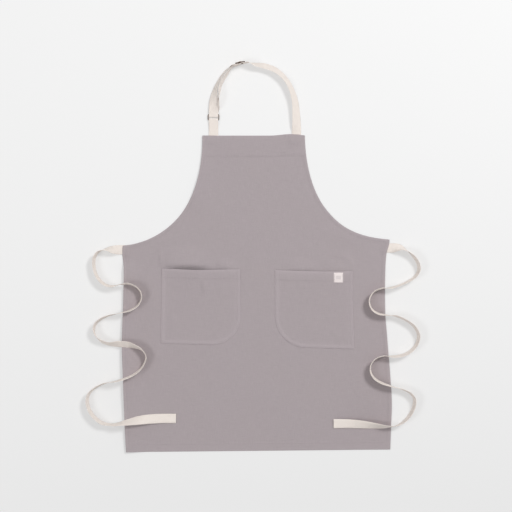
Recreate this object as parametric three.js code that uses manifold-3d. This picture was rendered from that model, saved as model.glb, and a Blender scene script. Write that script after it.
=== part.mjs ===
// A bib apron with two patch pockets, laid flat with its face up (+Z) and its neck loop towards +Y.
// Millimetres; the origin is on the table, under the middle of the apron with its neck loop.
import * as THREE from 'three';
import { mergeVertices } from 'three/addons/utils/BufferGeometryUtils.js';
import Module from 'manifold-3d';

const wasm = await Module();
wasm.setup();

// Overall sizes
const apronLength = 849;        // top of the bib to the hem
const apronWidth = 720;         // at the waist and at the hem
const bibWidth = 278;
const bibDrop = 288;            // top of the bib down to the waist corner
const armholeStart = 77;        // how far the armhole keeps straight down from the bib's corner
const armholeReach = 200;       // how far it runs in from the waist corner
const armholeRise = 15;         // and how much it has risen there
const loopRise = 198.1;         // top of the bib to the top of the neck loop

// Cloth, hems and thread
const cloth = 0.7;
const underHem = 1.0;           // height of the panel over the table where it has no hem
const bibHem = 56;
const armholeHem = 8;
const sideHem = 10;
const bottomHem = 20;
const gap = 0.3;                // between pieces that touch
const thread = 0.3;
const threadWidth = 0.9;
const stitchInset = 1.5;        // a hem's stitches, in from the hem's inner edge

// Pockets and label
const pocketWidth = 212;
const pocketDepth = 206;
const pocketRadius = 80;        // inner bottom corner
const pocketX = 153;            // centre of a pocket from the middle of the apron
const pocketDrop = 361;         // top of the bib down to the mouth
const pocketHem = 27;
const pocketStitch = 3;         // from the pocket's edge
const leftGape = 10;            // how far the middle of the mouth stands up
const rightGape = 8;
const labelSize = 26;
const labelThickness = 0.5;
const labelFromSide = 29;       // from the pocket's outer edge
const labelFromMouth = 6;

// Neck loop and ties
const tapeWidth = 25.4;
const tape = 0.9;
const tieTape = 1.2;
const strapInset = 27;          // bib's corner to the middle of a neck tape
const tieDrop = 15;             // waist corner down to the middle of a tie
const anchorInset = 5;          // stitches that hold a tape's end, in from the edge

// Brass ring and slider
const wire = 2.4;
const wireBevel = 0.6;
const wireCorner = 3.5;
const tapeClearance = 0.5;      // each side of a tape in a metal frame
const barGap = 0.45;            // between a bar and the tape round it
const ringLength = 17.4;
const ringFromBib = 50.5;       // top of the bib to the middle of the ring
const sliderLength = 27;
const sliderX = -40;
const sliderFromBib = 194.5;
const sliderTurn = 190.5;       // direction in which the strap runs through the slider, degrees

// Derived places
const halfWidth = apronWidth / 2;
const bibTop = (apronLength - loopRise) / 2;
const hemY = bibTop - apronLength;
const waistY = bibTop - bibDrop;
const panelTop = underHem + cloth;
const onPanel = panelTop + gap;
const onSeams = onPanel + thread + gap;
const mouthY = bibTop - pocketDrop;
const pocketBottom = mouthY - pocketDepth;
const strapX = bibWidth / 2 - strapInset;
const wrap = wire / 2 + barGap + tape / 2;              // centre line of a tape that goes round a bar
const ringZ = wrap + tape / 2 + gap;
const barOffset = (ringLength - wire) / 2;
const frameWidth = tapeWidth + 2 * (tapeClearance + wire);
const sliderZ = frameWidth / 2;
const radians = degrees => degrees * Math.PI / 180;

const clothColour = 0xa8a0a2;
const threadColour = 0x8f888a;
const tapeColour = 0xece0d6;
const brassColour = 0x5a4a42;
const look = (color, roughness, metalness = 0) => new THREE.MeshStandardMaterial({ color, roughness, metalness });

const apron = new THREE.Group();
function add(name, geometry, material) {
  const mesh = new THREE.Mesh(geometry, material);
  mesh.name = name;
  apron.add(mesh);
  return mesh;
}

// ---- general shapes ----

const lerp = THREE.MathUtils.lerp;
const smooth = THREE.MathUtils.smoothstep;

// The value of t in 0..1 at which a rising function reaches the target.
function solve(rising, target) {
  let low = 0;
  let high = 1;
  for (let turn = 0; turn < 40; turn++) {
    const middle = (low + high) / 2;
    if (rising(middle) < target) low = middle;
    else high = middle;
  }
  return (low + high) / 2;
}

// A box of nx by ny cells whose corner (u, v, w), each 0 to 1, goes where place says.
function mappedBox(nx, ny, place) {
  const box = new THREE.BoxGeometry(1, 1, 1, nx, ny, 1);
  const position = box.getAttribute('position');
  for (let i = 0; i < position.count; i++) {
    const point = place(position.getX(i) + 0.5, position.getY(i) + 0.5, position.getZ(i) + 0.5);
    position.setXYZ(i, point.x, point.y, point.z);
  }
  matchUnderside(box);
  box.computeVertexNormals();
  return box;
}

// Splits the box's underside into triangles the same way as its top, so a twisted strip keeps its thickness.
function matchUnderside(box) {
  const under = box.groups.at(-1);
  for (let i = under.start; i < under.start + under.count; i += 6) {
    const [a, b, d, , c] = [0, 1, 2, 3, 4].map(k => box.index.getX(i + k));
    [a, b, c, a, c, d].forEach((corner, k) => box.index.setX(i + k, corner));
  }
}

// A station of a strip: its centre, and the direction across its width.
const station = (x, y, z, across = new THREE.Vector3(0, 1, 0)) => ({ centre: new THREE.Vector3(x, y, z), across });

// More stations between the given ones, along a smooth curve, about one to a step.
function refine(stations, step) {
  const centres = new THREE.CatmullRomCurve3(stations.map(s => s.centre), false, 'centripetal');
  const fine = [];
  stations.slice(1).forEach((end, i) => {
    const start = stations[i];
    const parts = Math.max(1, Math.round(start.centre.distanceTo(end.centre) / step));
    for (let part = 0; part < parts; part++) {
      const t = part / parts;
      const centre = centres.getPoint((i + t) / (stations.length - 1));
      fine.push({ centre, across: start.across.clone().lerp(end.across, t) });
    }
  });
  fine.push(stations.at(-1));
  return fine;
}

// A flat strip along its stations.
function strip(stations, width, thickness) {
  const last = stations.length - 1;
  const sections = stations.map(({ centre, across }, i) => {
    const before = stations[Math.max(i - 1, 0)].centre;
    const after = stations[Math.min(i + 1, last)].centre;
    const along = after.clone().sub(before).normalize();
    const side = across.clone().addScaledVector(along, -across.dot(along)).normalize();
    return { centre, side, up: along.cross(side) };
  });
  return mappedBox(last, 1, (u, v, w) => {
    const { centre, side, up } = sections[Math.round(u * last)];
    return centre.clone().addScaledVector(side, (v - 0.5) * width).addScaledVector(up, (w - 0.5) * thickness);
  });
}

// A row of stitches through points on a surface: a thin strip lying flat on it.
function seam(name, points) {
  const stations = points.map(([x, y, z = onPanel], i) => {
    const [ax, ay] = points[Math.max(i - 1, 0)];
    const [bx, by] = points[Math.min(i + 1, points.length - 1)];
    return station(x, y, z + thread / 2, new THREE.Vector3(ay - by, bx - ax, 0));
  });
  return add(name, strip(stations, threadWidth, thread), look(threadColour, 0.9));
}

// A flat frame of wire with equal holes side by side, its tape width along X and its length along Y.
function wireFrame(length, holes) {
  const rounded = (path, x0, y0, x1, y1, r) => {
    path.moveTo(x0 + r, y0);
    path.lineTo(x1 - r, y0);
    path.absarc(x1 - r, y0 + r, r, -Math.PI / 2, 0, false);
    path.absarc(x1 - r, y1 - r, r, 0, Math.PI / 2, false);
    path.absarc(x0 + r, y1 - r, r, Math.PI / 2, Math.PI, false);
    path.absarc(x0 + r, y0 + r, r, Math.PI, Math.PI * 1.5, false);
    return path;
  };
  const x = frameWidth / 2;
  const y = length / 2;
  const outline = rounded(new THREE.Shape(), -x, -y, x, y, wireCorner);
  const pitch = (length - wire) / holes;
  for (let i = 0; i < holes; i++) {
    const low = -y + wire + i * pitch;
    const hole = rounded(new THREE.Path(), wire - x, low, x - wire, low + pitch - wire, wireCorner - wire);
    outline.holes.push(hole);
  }
  const depth = wire - 2 * wireBevel;
  const bevel = { bevelThickness: wireBevel, bevelSize: wireBevel, bevelOffset: -wireBevel, bevelSegments: 2 };
  return new THREE.ExtrudeGeometry(outline, { depth, ...bevel, curveSegments: 4 }).translate(0, 0, -depth / 2);
}

// ---- the panel ----

// A point of the armhole's edge, t from the bib's corner to the waist corner, moved in by an inset.
function armhole(t, inset = 0) {
  const corner = new THREE.Vector2(bibWidth / 2, bibTop);
  const start = new THREE.Vector2(bibWidth / 2, bibTop - armholeStart);
  const reach = new THREE.Vector2(halfWidth - armholeReach, waistY + armholeRise);
  const waist = new THREE.Vector2(halfWidth, waistY);
  const curve = new THREE.CubicBezierCurve(corner, start, reach, waist);
  const along = curve.getTangent(t);
  return curve.getPoint(t).add(new THREE.Vector2(along.y, -along.x).multiplyScalar(inset));
}

// The points of the right armhole at an inset, between a height and a distance from the middle.
function armholeRun(inset, fromY, toX, count) {
  const first = solve(t => -armhole(t, inset).y, -fromY);
  const last = solve(t => armhole(t, inset).x, toX);
  return Array.from({ length: count + 1 }, (_, i) => armhole(lerp(first, last, i / count), inset));
}

function sheet(points, z0, z1) {
  const outline = new THREE.Shape(points);
  return new THREE.ExtrudeGeometry(outline, { depth: z1 - z0, bevelEnabled: false }).translate(0, 0, z0);
}

function toSolid(geometry) {
  const bare = new THREE.BufferGeometry().setAttribute('position', geometry.getAttribute('position'));
  bare.setIndex(geometry.index);
  const merged = mergeVertices(bare, 1e-4);
  const vertProperties = new Float32Array(merged.getAttribute('position').array);
  return new wasm.Manifold(new wasm.Mesh({ numProp: 3, vertProperties, triVerts: new Uint32Array(merged.index.array) }));
}

function toGeometry(solid) {
  const mesh = solid.getMesh();
  const geometry = new THREE.BufferGeometry();
  geometry.setAttribute('position', new THREE.BufferAttribute(new Float32Array(mesh.vertProperties), 3));
  geometry.setIndex(new THREE.BufferAttribute(new Uint32Array(mesh.triVerts), 1));
  geometry.computeVertexNormals();
  return geometry;
}

// Both sides of the panel's outline, inside hems of the given widths.
function outline(top, armholeIn, side, bottom) {
  const right = armholeRun(armholeIn, bibTop - top, halfWidth - side, 24);
  right.push(new THREE.Vector2(halfWidth - side, hemY + bottom));
  const left = right.map(p => new THREE.Vector2(-p.x, p.y)).reverse();
  return [...left, ...right].reverse();
}

// The hems are folded under, so the cloth between them lies a little over the table.
function makePanel() {
  const full = toSolid(sheet(outline(0, 0, 0, 0), 0, panelTop));
  const below = toSolid(sheet(outline(bibHem, armholeHem, sideHem, bottomHem), -underHem, underHem));
  add('apron_panel', toGeometry(full.subtract(below)), look(clothColour, 0.92));
}

function makePanelSeams() {
  const inset = armholeHem - stitchInset;
  const sideX = halfWidth - sideHem + stitchInset;
  const run = armholeRun(inset, bibTop - stitchInset, sideX - 2 * threadWidth, 20);
  const sideTop = run.at(-1).y - 2 * threadWidth;
  const bottomY = hemY + bottomHem - stitchInset;
  const bibY = bibTop - bibHem + stitchInset;
  const bibX = armholeRun(inset, bibY, sideX, 1)[0].x - 2 * threadWidth;
  for (const [side, sign] of [['left', -1], ['right', 1]]) {
    seam(`${side}_armhole_seam`, run.map(p => [sign * p.x, p.y]));
    seam(`${side}_side_seam`, [[sign * sideX, sideTop], [sign * sideX, bottomY + 2 * threadWidth]]);
    const anchor = armholeHem / 2;
    const tieX = sign * (halfWidth - anchor);
    const reach = tapeWidth / 2 - threadWidth;
    seam(`${side}_tie_stitch`, [[tieX, waistY - tieDrop + reach], [tieX, waistY - tieDrop - reach]]);
    const strapName = sign < 0 ? 'tab_stitch' : 'strap_stitch';
    const strapY = bibTop - anchorInset;
    seam(strapName, [[sign * strapX - reach, strapY], [sign * strapX + reach, strapY]]);
  }
  seam('bib_hem_seam', [[-bibX, bibY], [bibX, bibY]]);
  seam('bottom_hem_seam', [[-sideX, bottomY], [sideX, bottomY]]);
}

// ---- the pockets and the label ----

// Across a pocket at a height over its bottom: 0 to 1 from the apron's middle outwards.
const cornerCut = h => (h < pocketRadius ? pocketRadius - Math.sqrt(pocketRadius ** 2 - (pocketRadius - h) ** 2) : 0);
const pocketSpan = h => [pocketX - pocketWidth / 2 + cornerCut(h), pocketX + pocketWidth / 2];

// How far a pocket stands off the panel: most at the middle of its mouth, nothing along its seams.
function standOff(across, h, gape) {
  const down = 1 - h / pocketDepth;
  return gape * Math.sin(Math.PI * across) * (1 - down * down);
}

function pocketTopAt(x, h, gape) {
  const [inner, outer] = pocketSpan(h);
  return onPanel + cloth + standOff((x - inner) / (outer - inner), h, gape);
}

function makePocket(name, sign, gape) {
  const arcRows = 7;
  const arc = Array.from({ length: arcRows }, (_, i) => pocketRadius * (1 - Math.cos(i / arcRows * Math.PI / 2)));
  const straightRows = 6;
  const straight = Array.from({ length: straightRows + 1 }, (_, i) => lerp(pocketRadius, pocketDepth, i / straightRows));
  const rows = [...arc, ...straight];
  const geometry = mappedBox(14, rows.length - 1, (u, v, w) => {
    const h = rows[Math.round(v * (rows.length - 1))];
    const [inner, outer] = pocketSpan(h);
    const across = sign > 0 ? u : 1 - u;
    const z = onPanel + standOff(across, h, gape) + w * cloth;
    return new THREE.Vector3(sign * lerp(inner, outer, across), pocketBottom + h, z);
  });
  add(name, geometry, look(clothColour, 0.92));
}

function makePocketSeams(side, sign, gape) {
  const inner = pocketX - pocketWidth / 2 + pocketStitch;
  const outer = pocketX + pocketWidth / 2 - pocketStitch;
  const radius = pocketRadius - pocketStitch;
  const place = (x, h) => [sign * x, pocketBottom + h, pocketTopAt(x, h, gape) + gap];
  const hemLine = pocketDepth - pocketHem;
  const top = pocketDepth - pocketStitch;
  const points = [];
  for (let i = 0; i <= 8; i++) points.push(place(outer, lerp(top, pocketStitch, i / 8)));
  for (let i = 0; i <= 8; i++) {
    const angle = i / 8 * Math.PI / 2;
    const x = inner + radius - radius * Math.sin(angle);
    points.push(place(x, pocketStitch + radius - radius * Math.cos(angle)));
  }
  for (let i = 1; i <= 5; i++) points.push(place(inner, lerp(pocketStitch + radius, top, i / 5)));
  seam(`${side}_pocket_seam`, points);
  const across = [];
  const clear = 2 * threadWidth;
  for (let i = 0; i <= 16; i++) across.push(place(lerp(outer - clear, inner + clear, i / 16), hemLine));
  seam(`${side}_pocket_hem_seam`, across);
}

function makeLabel() {
  const right = pocketX + pocketWidth / 2 - labelFromSide;
  const top = pocketDepth - labelFromMouth;
  const surface = (x, h) => pocketTopAt(x, h, rightGape) + gap;
  const geometry = mappedBox(4, 4, (u, v, w) => {
    const x = right - labelSize * (1 - u);
    const h = top - labelSize * (1 - v);
    return new THREE.Vector3(x, pocketBottom + h, surface(x, h) + w * labelThickness + thread + gap);
  });
  add('pocket_label', geometry, look(tapeColour, 0.85));
  const points = [[1, 1], [1, 0.5], [1, 0], [0.5, 0], [0, 0], [0, 0.5], [0, 1]].map(([u, v]) => {
    const reach = labelSize - 2 * stitchInset;
    const x = right - stitchInset - reach * (1 - u);
    const h = top - stitchInset - reach * (1 - v);
    return [x, pocketBottom + h, surface(x, h) + labelThickness + thread + 2 * gap];
  });
  seam('label_seam', points);
}

// ---- tapes ----

const up = new THREE.Vector3(0, 0, 1);
const level = degrees => new THREE.Vector3(Math.cos(radians(degrees)), Math.sin(radians(degrees)), 0);

// A tape's station: it rests on a height and leans from flat (0) to on edge (90) towards a direction.
function taped(x, y, rest, lean, inward, thickness) {
  const angle = radians(lean);
  const half = (tapeWidth * Math.abs(Math.sin(angle)) + thickness * Math.abs(Math.cos(angle))) / 2;
  const across = inward.clone().multiplyScalar(Math.cos(angle)).addScaledVector(up, Math.sin(angle));
  return station(x, y, rest + half, across);
}

// Half a turn round a bar from a start angle, in the plane of two directions.
function halfTurn(centre, first, second, across) {
  return [0, 30, 60, 90, 120, 150, 180].map(degrees => {
    const offset = first.clone().multiplyScalar(wrap * Math.cos(radians(degrees)));
    offset.addScaledVector(second, wrap * Math.sin(radians(degrees)));
    return { centre: centre.clone().add(offset), across: across.clone() };
  });
}

// The neck strap is sewn into the bib at the right, goes over the neck, through the slider, down
// and round the ring's upper bar, and back up, where its end is sewn round the slider's middle bar.
function makeNeckStrap() {
  const lies = (x, rise, rest, lean, inward) => taped(x, bibTop + rise, rest, lean, level(inward), tape);
  const slider = new THREE.Vector3(sliderX, bibTop + sliderFromBib, sliderZ);
  const along = level(sliderTurn);
  const outward = level(sliderTurn - 90);
  const edge = (s, n) => ({
    centre: slider.clone().addScaledVector(along, s).addScaledVector(outward, n),
    across: up.clone(),
  });
  const endBar = (sliderLength - wire) / 2;
  const overMiddle = wrap + tape + gap;
  const upper = new THREE.Vector3(-strapX, bibTop + ringFromBib + barOffset, ringZ);
  const stations = [
    lies(strapX, gap, gap, 0, 180),
    lies(strapX, 10, gap, 3, 180),
    lies(strapX, 33, gap, 26, 181),
    lies(strapX - 1, 60, gap, 44, 186),
    lies(108, 93, gap, 55, 196),
    lies(101, 118, gap, 68, 208),
    lies(91, 140, gap, 76, 222),
    lies(76, 159, gap, 70, 236),
    lies(52, 176, gap, 60, 250),
    lies(24, 185, gap, 56, 262),
    lies(-1, 191, 1, 68, 270),
    edge(-20, -1.6),
    edge(-endBar, -wrap),
    edge(-endBar / 2, 1.0),
    edge(0, overMiddle),
    edge(endBar / 2, 1.0),
    edge(endBar, -wrap),
    edge(22, -2.5),
    lies(-76.5, 177, 1.5, 76, 310),
    lies(-92, 157, gap, 72, 322),
    lies(-101, 141, gap, 70, 335),
    lies(-107, 124, 1, 60, 345),
    lies(-111, 99, 3, 33, 355),
    lies(-strapX, 78, 4.3, 10, 360),
    lies(-strapX, 67, 4.5, 0, 360),
    { centre: upper.clone().add(new THREE.Vector3(0, 1.5, wrap)), across: level(0) },
    ...halfTurn(upper, up, new THREE.Vector3(0, -1, 0), level(0)),
    { centre: upper.clone().add(new THREE.Vector3(0, 1.5, -wrap)), across: level(0) },
    lies(-strapX + 1, 68, 0.4, 1, 360),
    lies(-strapX + 4, 79, gap, 9, 360),
    lies(-103.5, 99, gap, 32, 355),
    lies(-98, 122, gap, 60, 345),
    lies(-92, 136, gap, 70, 335),
    lies(-82, 150, gap, 73, 322),
    lies(-68, 168, 1.5, 77, 308),
    edge(23, -5.6),
    edge(endBar, -wrap - 2 * (tape + gap)),
    edge(endBar / 2, -3.1),
    ...halfTurn(slider, outward.clone().negate(), along.clone().negate(), up),
    edge(endBar / 2, -0.9),
    edge(endBar, -wrap - tape - gap),
    edge(21, -wrap - tape - 2 * gap),
  ];
  add('neck_strap', strip(refine(stations, 8), tapeWidth, tape), look(tapeColour, 0.85));
  const stitch = [-0.4, 0.4].map(part => {
    const at = edge(19, -wrap - 3 * (tape + gap) - 2 * thread);
    return { centre: at.centre.addScaledVector(up, part * tapeWidth), across: along.clone() };
  });
  add('strap_end_stitch', strip(stitch, threadWidth, thread), look(threadColour, 0.9));
}

// The tab holds the ring: it comes out of the bib, goes round the ring's lower bar and back in.
function makeTab() {
  const lies = (rise, rest) => taped(-strapX, bibTop + rise, rest, 0, level(0), tape);
  const lower = new THREE.Vector3(-strapX, bibTop + ringFromBib - barOffset, ringZ);
  const stations = [
    lies(gap, gap),
    lies(20, gap),
    lies(35, gap + 0.1),
    ...halfTurn(lower, up.clone().negate(), new THREE.Vector3(0, 1, 0), level(0)),
    lies(33, 3.6),
    lies(18, 2 * gap + tape),
    lies(gap, 2 * gap + tape),
  ];
  add('neck_tab', strip(refine(stations, 10), tapeWidth, tape), look(tapeColour, 0.85));
}

function makeHardware() {
  const brass = () => look(brassColour, 0.4, 0.85);
  const ring = add('strap_ring', wireFrame(ringLength, 1), brass());
  ring.position.set(-strapX, bibTop + ringFromBib, ringZ);
  const slider = add('strap_slider', wireFrame(sliderLength, 2), brass());
  slider.position.set(sliderX, bibTop + sliderFromBib, sliderZ);
  slider.rotation.set(0, Math.PI / 2, radians(sliderTurn) - Math.PI / 2, 'ZYX');
}

// Each tie lies in loose waves, mostly on its edge. Its points: outwards from the apron's side,
// up from where it is sewn on, and its lean.
const leftTie = [
  [gap, 0, 0], [10, 0, 8], [24, 0, 38], [38, 1, 64], [51, -1, 80], [64, -8, 88], [72, -22, 90], [73, -42, 90],
  [68, -64, 90], [58, -81, 90], [42, -94, 90], [22, -98, 90], [0, -93, 90], [-19, -91, 90], [-38, -98, 90],
  [-51, -111, 90], [-55, -128, 90], [-47, -147, 90], [-29, -161, 90], [-6, -168, 90], [25, -175, 90],
  [50, -184, 90], [67, -197, 90], [73, -213, 85], [68, -232, 75], [53, -246, 62], [28, -253, 52], [-6, -254, 58],
  [-35, -259, 75], [-57, -270, 88], [-67, -288, 90], [-61, -308, 90], [-47, -326, 90], [-25, -340, 90],
  [7, -351, 90], [43, -359, 90], [69, -371, 90], [86, -387, 90], [91, -407, 90], [85, -431, 90], [69, -453, 90],
  [50, -466, 90], [27, -470, 92], [0, -465, 120], [-30, -460, 145], [-66, -457, 165], [-104, -455, 178],
  [-147, -455, 180],
];
const rightTie = [
  [gap, 0, 0], [11, 0, 8], [26, 1, 38], [40, -2, 64], [54, -11, 82], [68, -24, 90], [79, -42, 90], [81, -60, 90],
  [72, -76, 90], [56, -88, 90], [33, -99, 90], [7, -107, 90], [-18, -109, 90], [-38, -117, 90], [-50, -132, 90],
  [-52, -149, 90], [-45, -165, 90], [-29, -176, 90], [-6, -180, 90], [19, -183, 90], [47, -195, 90],
  [69, -212, 90], [80, -234, 90], [76, -257, 90], [61, -276, 90], [40, -288, 90], [12, -292, 90], [-14, -291, 90],
  [-36, -299, 90], [-48, -315, 90], [-49, -333, 90], [-40, -349, 90], [-23, -361, 90], [5, -371, 90],
  [36, -380, 90], [58, -391, 90], [69, -406, 90], [68, -425, 90], [59, -446, 90], [43, -465, 90], [22, -478, 95],
  [-4, -481, 120], [-34, -479, 145], [-68, -476, 165], [-106, -474, 178], [-148, -474, 180],
];

// A tie comes out of the side hem on the table, and lies on the panel where it comes back over it.
function makeTie(name, sign, route) {
  const sewnPoints = 6;
  const stations = route.map(([out, rise, lean], i) => {
    const before = route[Math.max(i - 1, 0)];
    const after = route[Math.min(i + 1, route.length - 1)];
    const inward = new THREE.Vector3(sign * (before[1] - after[1]), after[0] - before[0], 0);
    inward.multiplyScalar(-1).normalize();
    const offPanel = i < sewnPoints ? 1 : smooth(out, 6, 26);
    const rest = lerp(onSeams, gap, offPanel);
    return taped(sign * (halfWidth + out), waistY - tieDrop + rise, rest, lean, inward, tieTape);
  });
  add(name, strip(refine(stations, 14), tapeWidth, tieTape), look(tapeColour, 0.85));
}

makePanel();
makePanelSeams();
makePocket('left_pocket', -1, leftGape);
makePocket('right_pocket', 1, rightGape);
makePocketSeams('left', -1, leftGape);
makePocketSeams('right', 1, rightGape);
makeLabel();
makeNeckStrap();
makeTab();
makeHardware();
makeTie('left_tie', -1, leftTie);
makeTie('right_tie', 1, rightTie);

export default apron;
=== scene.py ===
"""The looks of a bib apron laid flat with its face up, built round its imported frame.

Metres throughout, in the frame's own axes: +Y towards the neck loop, +X to the right, +Z up
out of the apron's face, with the table at Z = 0.
"""
import math

import bpy
import numpy as np
from bpy.props import FloatProperty, FloatVectorProperty, IntProperty, PointerProperty
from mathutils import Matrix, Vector, noise
from mathutils.geometry import delaunay_2d_cdt


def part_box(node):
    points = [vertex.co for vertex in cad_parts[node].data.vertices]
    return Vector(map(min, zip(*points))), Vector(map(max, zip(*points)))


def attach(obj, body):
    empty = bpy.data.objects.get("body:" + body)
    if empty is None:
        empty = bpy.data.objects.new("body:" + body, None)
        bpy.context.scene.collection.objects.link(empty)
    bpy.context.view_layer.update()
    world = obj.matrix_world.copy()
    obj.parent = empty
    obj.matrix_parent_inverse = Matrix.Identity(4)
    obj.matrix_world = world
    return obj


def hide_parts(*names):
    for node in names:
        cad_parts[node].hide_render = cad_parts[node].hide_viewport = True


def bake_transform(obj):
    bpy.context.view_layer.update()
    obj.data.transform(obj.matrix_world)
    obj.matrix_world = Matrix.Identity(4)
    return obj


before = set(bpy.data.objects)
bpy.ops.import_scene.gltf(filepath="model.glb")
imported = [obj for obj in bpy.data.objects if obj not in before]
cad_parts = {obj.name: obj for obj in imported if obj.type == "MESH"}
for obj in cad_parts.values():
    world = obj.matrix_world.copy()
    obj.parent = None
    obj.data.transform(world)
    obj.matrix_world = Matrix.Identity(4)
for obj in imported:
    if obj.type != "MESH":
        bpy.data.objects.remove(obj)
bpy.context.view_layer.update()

bl_info = {
    "name": "Bib Apron",
    "version": (1, 0, 0),
    "blender": (4, 5, 0),
    "location": "View3D > Sidebar > Apron",
    "description": "Sews the cloth, tapes, brass and stitches of a bib apron onto its frame",
    "category": "Add Mesh",
}

PANEL_LOW, PANEL_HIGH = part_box("apron_panel")
MM = 0.001


# ---- sizes and colours ----

def size(name, default, description):
    """A length that a user can change, given in millimetres."""
    return FloatProperty(name=name, default=default * MM, unit="LENGTH", precision=4, description=description)


def colour(name, default, description):
    return FloatVectorProperty(
        name=name, default=default, subtype="COLOR", size=3, min=0, max=1, description=description)


class ApronSizes(bpy.types.PropertyGroup):
    """Sizes of the cloth, tapes and brass, in metres"""

    bib_width: size("Bib width", 278, "Across the top of the bib")
    bib_drop: size("Bib drop", 288, "Top of the bib down to the waist corner")
    armhole_start: size("Armhole start", 77, "How far the armhole keeps straight down from the bib")
    armhole_reach: size("Armhole reach", 200, "How far it runs in from the waist corner")
    armhole_rise: size("Armhole rise", 15, "How much it has risen there")
    cloth: size("Cloth", 0.7, "Thickness of the linen")
    cloth_top: size("Cloth height", 1.35, "Height of the single cloth's face over the table")
    hem_top: size("Hem height", 1.8, "Height of a hem's face over the table")
    bib_hem: size("Bib hem", 56, "Depth of the hem along the top of the bib")
    armhole_hem: size("Armhole hem", 8, "Width of the hem along an armhole")
    side_hem: size("Side hem", 10, "Width of the hem along a side")
    bottom_hem: size("Bottom hem", 20, "Depth of the hem along the bottom")
    stitch_inset: size("Stitch inset", 1.5, "A hem's stitches, in from the hem's inner edge")
    pocket_width: size("Pocket width", 212, "Across a pocket")
    pocket_depth: size("Pocket depth", 206, "From a pocket's mouth to its bottom")
    pocket_radius: size("Pocket corner", 80, "Radius of a pocket's inner bottom corner")
    pocket_x: size("Pocket place", 153, "Middle of the apron to the middle of a pocket")
    pocket_drop: size("Pocket drop", 361, "Top of the bib down to a pocket's mouth")
    pocket_hem: size("Pocket hem", 27, "Depth of the hem along a pocket's mouth")
    pocket_stitch: size("Pocket stitches", 3, "From a pocket's edge to its stitches")
    label: size("Label", 26, "Side of the square label")
    label_from_side: size("Label from side", 29, "From the pocket's outer edge to the label")
    label_from_mouth: size("Label from mouth", 6, "From the pocket's mouth to the label")
    tape_width: size("Tape width", 25.4, "Width of the neck tape and the ties")
    tape: size("Neck tape", 0.9, "Thickness of the neck tape")
    tie_tape: size("Tie tape", 1.2, "Thickness of the ties")
    strap_inset: size("Strap inset", 27, "Bib's corner to the middle of a neck tape")
    tie_drop: size("Tie drop", 15, "Waist corner down to the middle of a tie")
    wire: size("Wire", 2.4, "Diameter of the brass wire")
    ring_length: size("Ring length", 17.4, "Ring's size along the tape")
    ring_from_bib: size("Ring place", 50.5, "Top of the bib to the middle of the ring")
    slider_length: size("Slider length", 27, "Slider's size along the tape")
    slider_x: size("Slider across", -40, "Middle of the apron to the middle of the slider")
    slider_from_bib: size("Slider place", 194.5, "Top of the bib to the middle of the slider")
    slider_turn: FloatProperty(
        name="Slider turn", default=math.radians(190.5), unit="ROTATION",
        description="Direction in which the strap runs through the slider")
    stitch_spacing: size("Stitch spacing", 3.2, "From one stitch to the next")
    stitch_length: size("Stitch length", 2.5, "Length of one stitch")
    thread: size("Thread", 0.55, "Width of the sewing thread")
    weave: size("Weave", 1.1, "Spacing of the linen's yarns")
    seed: IntProperty(name="Seed", default=7, description="Picks the linen's slubs and small wrinkles")


class ApronColours(bpy.types.PropertyGroup):
    """Colours of the finishes"""

    linen: colour("Linen", (0.401, 0.351, 0.368), "Washed linen of the panel and pockets")
    tape: colour("Tape", (0.90, 0.825, 0.77), "Natural cotton tape")
    label: colour("Label", (0.86, 0.78, 0.77), "Woven label")
    label_mark: colour("Label mark", (0.66, 0.60, 0.60), "Plain bar woven into the label")
    thread: colour("Thread", (0.37, 0.325, 0.34), "Sewing thread")
    brass: colour("Brass", (0.105, 0.068, 0.052), "Antique brass in its hollows")
    worn_brass: colour("Worn brass", (0.25, 0.17, 0.13), "Antique brass where it is rubbed")
    table: colour("Table", (0.52, 0.52, 0.52), "The pale surface under the apron")
    # Painted light: the table glows with this colour, though it is no lamp.
    painted_glow: colour("Glow", (0.327, 0.327, 0.327), "Light that the pale surface gives off evenly")


# ---- small helpers ----

def lerp(a, b, t):
    return a + (b - a) * t


def smooth(x, low, high):
    t = min(max((x - low) / (high - low), 0.0), 1.0)
    return t * t * (3 - 2 * t)


def bump(x, centre, reach):
    """1 at the centre, falling smoothly to 0 a reach away."""
    return 1 - smooth(abs(x - centre), 0, reach)


def solve(rising, target):
    """The value from 0 to 1 at which a rising function reaches the target."""
    low, high = 0.0, 1.0
    for _ in range(40):
        middle = (low + high) / 2
        if rising(middle) < target:
            low = middle
        else:
            high = middle
    return (low + high) / 2


def along_rows(rows, place, column):
    """A column's value at a place between rows that run downwards, on a smooth curve."""
    place = min(max(place, rows[-1][0]), rows[0][0])
    i = next(i for i in range(len(rows) - 1) if place >= rows[i + 1][0])
    ends = [rows[min(max(k, 0), len(rows) - 1)] for k in (i - 1, i, i + 1, i + 2)]
    slopes = [(b[column] - a[column]) / (b[0] - a[0] or 1)
              for a, b in ((ends[0], ends[2]), (ends[1], ends[3]))]
    run = ends[2][0] - ends[1][0]
    t = (place - ends[1][0]) / run
    a, b = ends[1][column], ends[2][column]
    return (a * (1 + 2 * t) * (1 - t) ** 2 + b * t * t * (3 - 2 * t)
            + slopes[0] * run * t * (1 - t) ** 2 - slopes[1] * run * t * t * (1 - t))


def spaced(points, step, closed=False):
    """Points about a step apart along a chain of straight runs, keeping its corners."""
    ends = points[1:] + (points[:1] if closed else [])
    out = []
    for a, b in zip(points, ends):
        parts = max(1, round(math.dist(a, b) / step))
        out += [tuple(lerp(p, q, i / parts) for p, q in zip(a, b)) for i in range(parts)]
    return out if closed else out + [tuple(points[-1])]


def level(degrees):
    return Vector((math.cos(math.radians(degrees)), math.sin(math.radians(degrees)), 0))


UP = Vector((0, 0, 1))


# ---- where the laid cloth is ----

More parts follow.
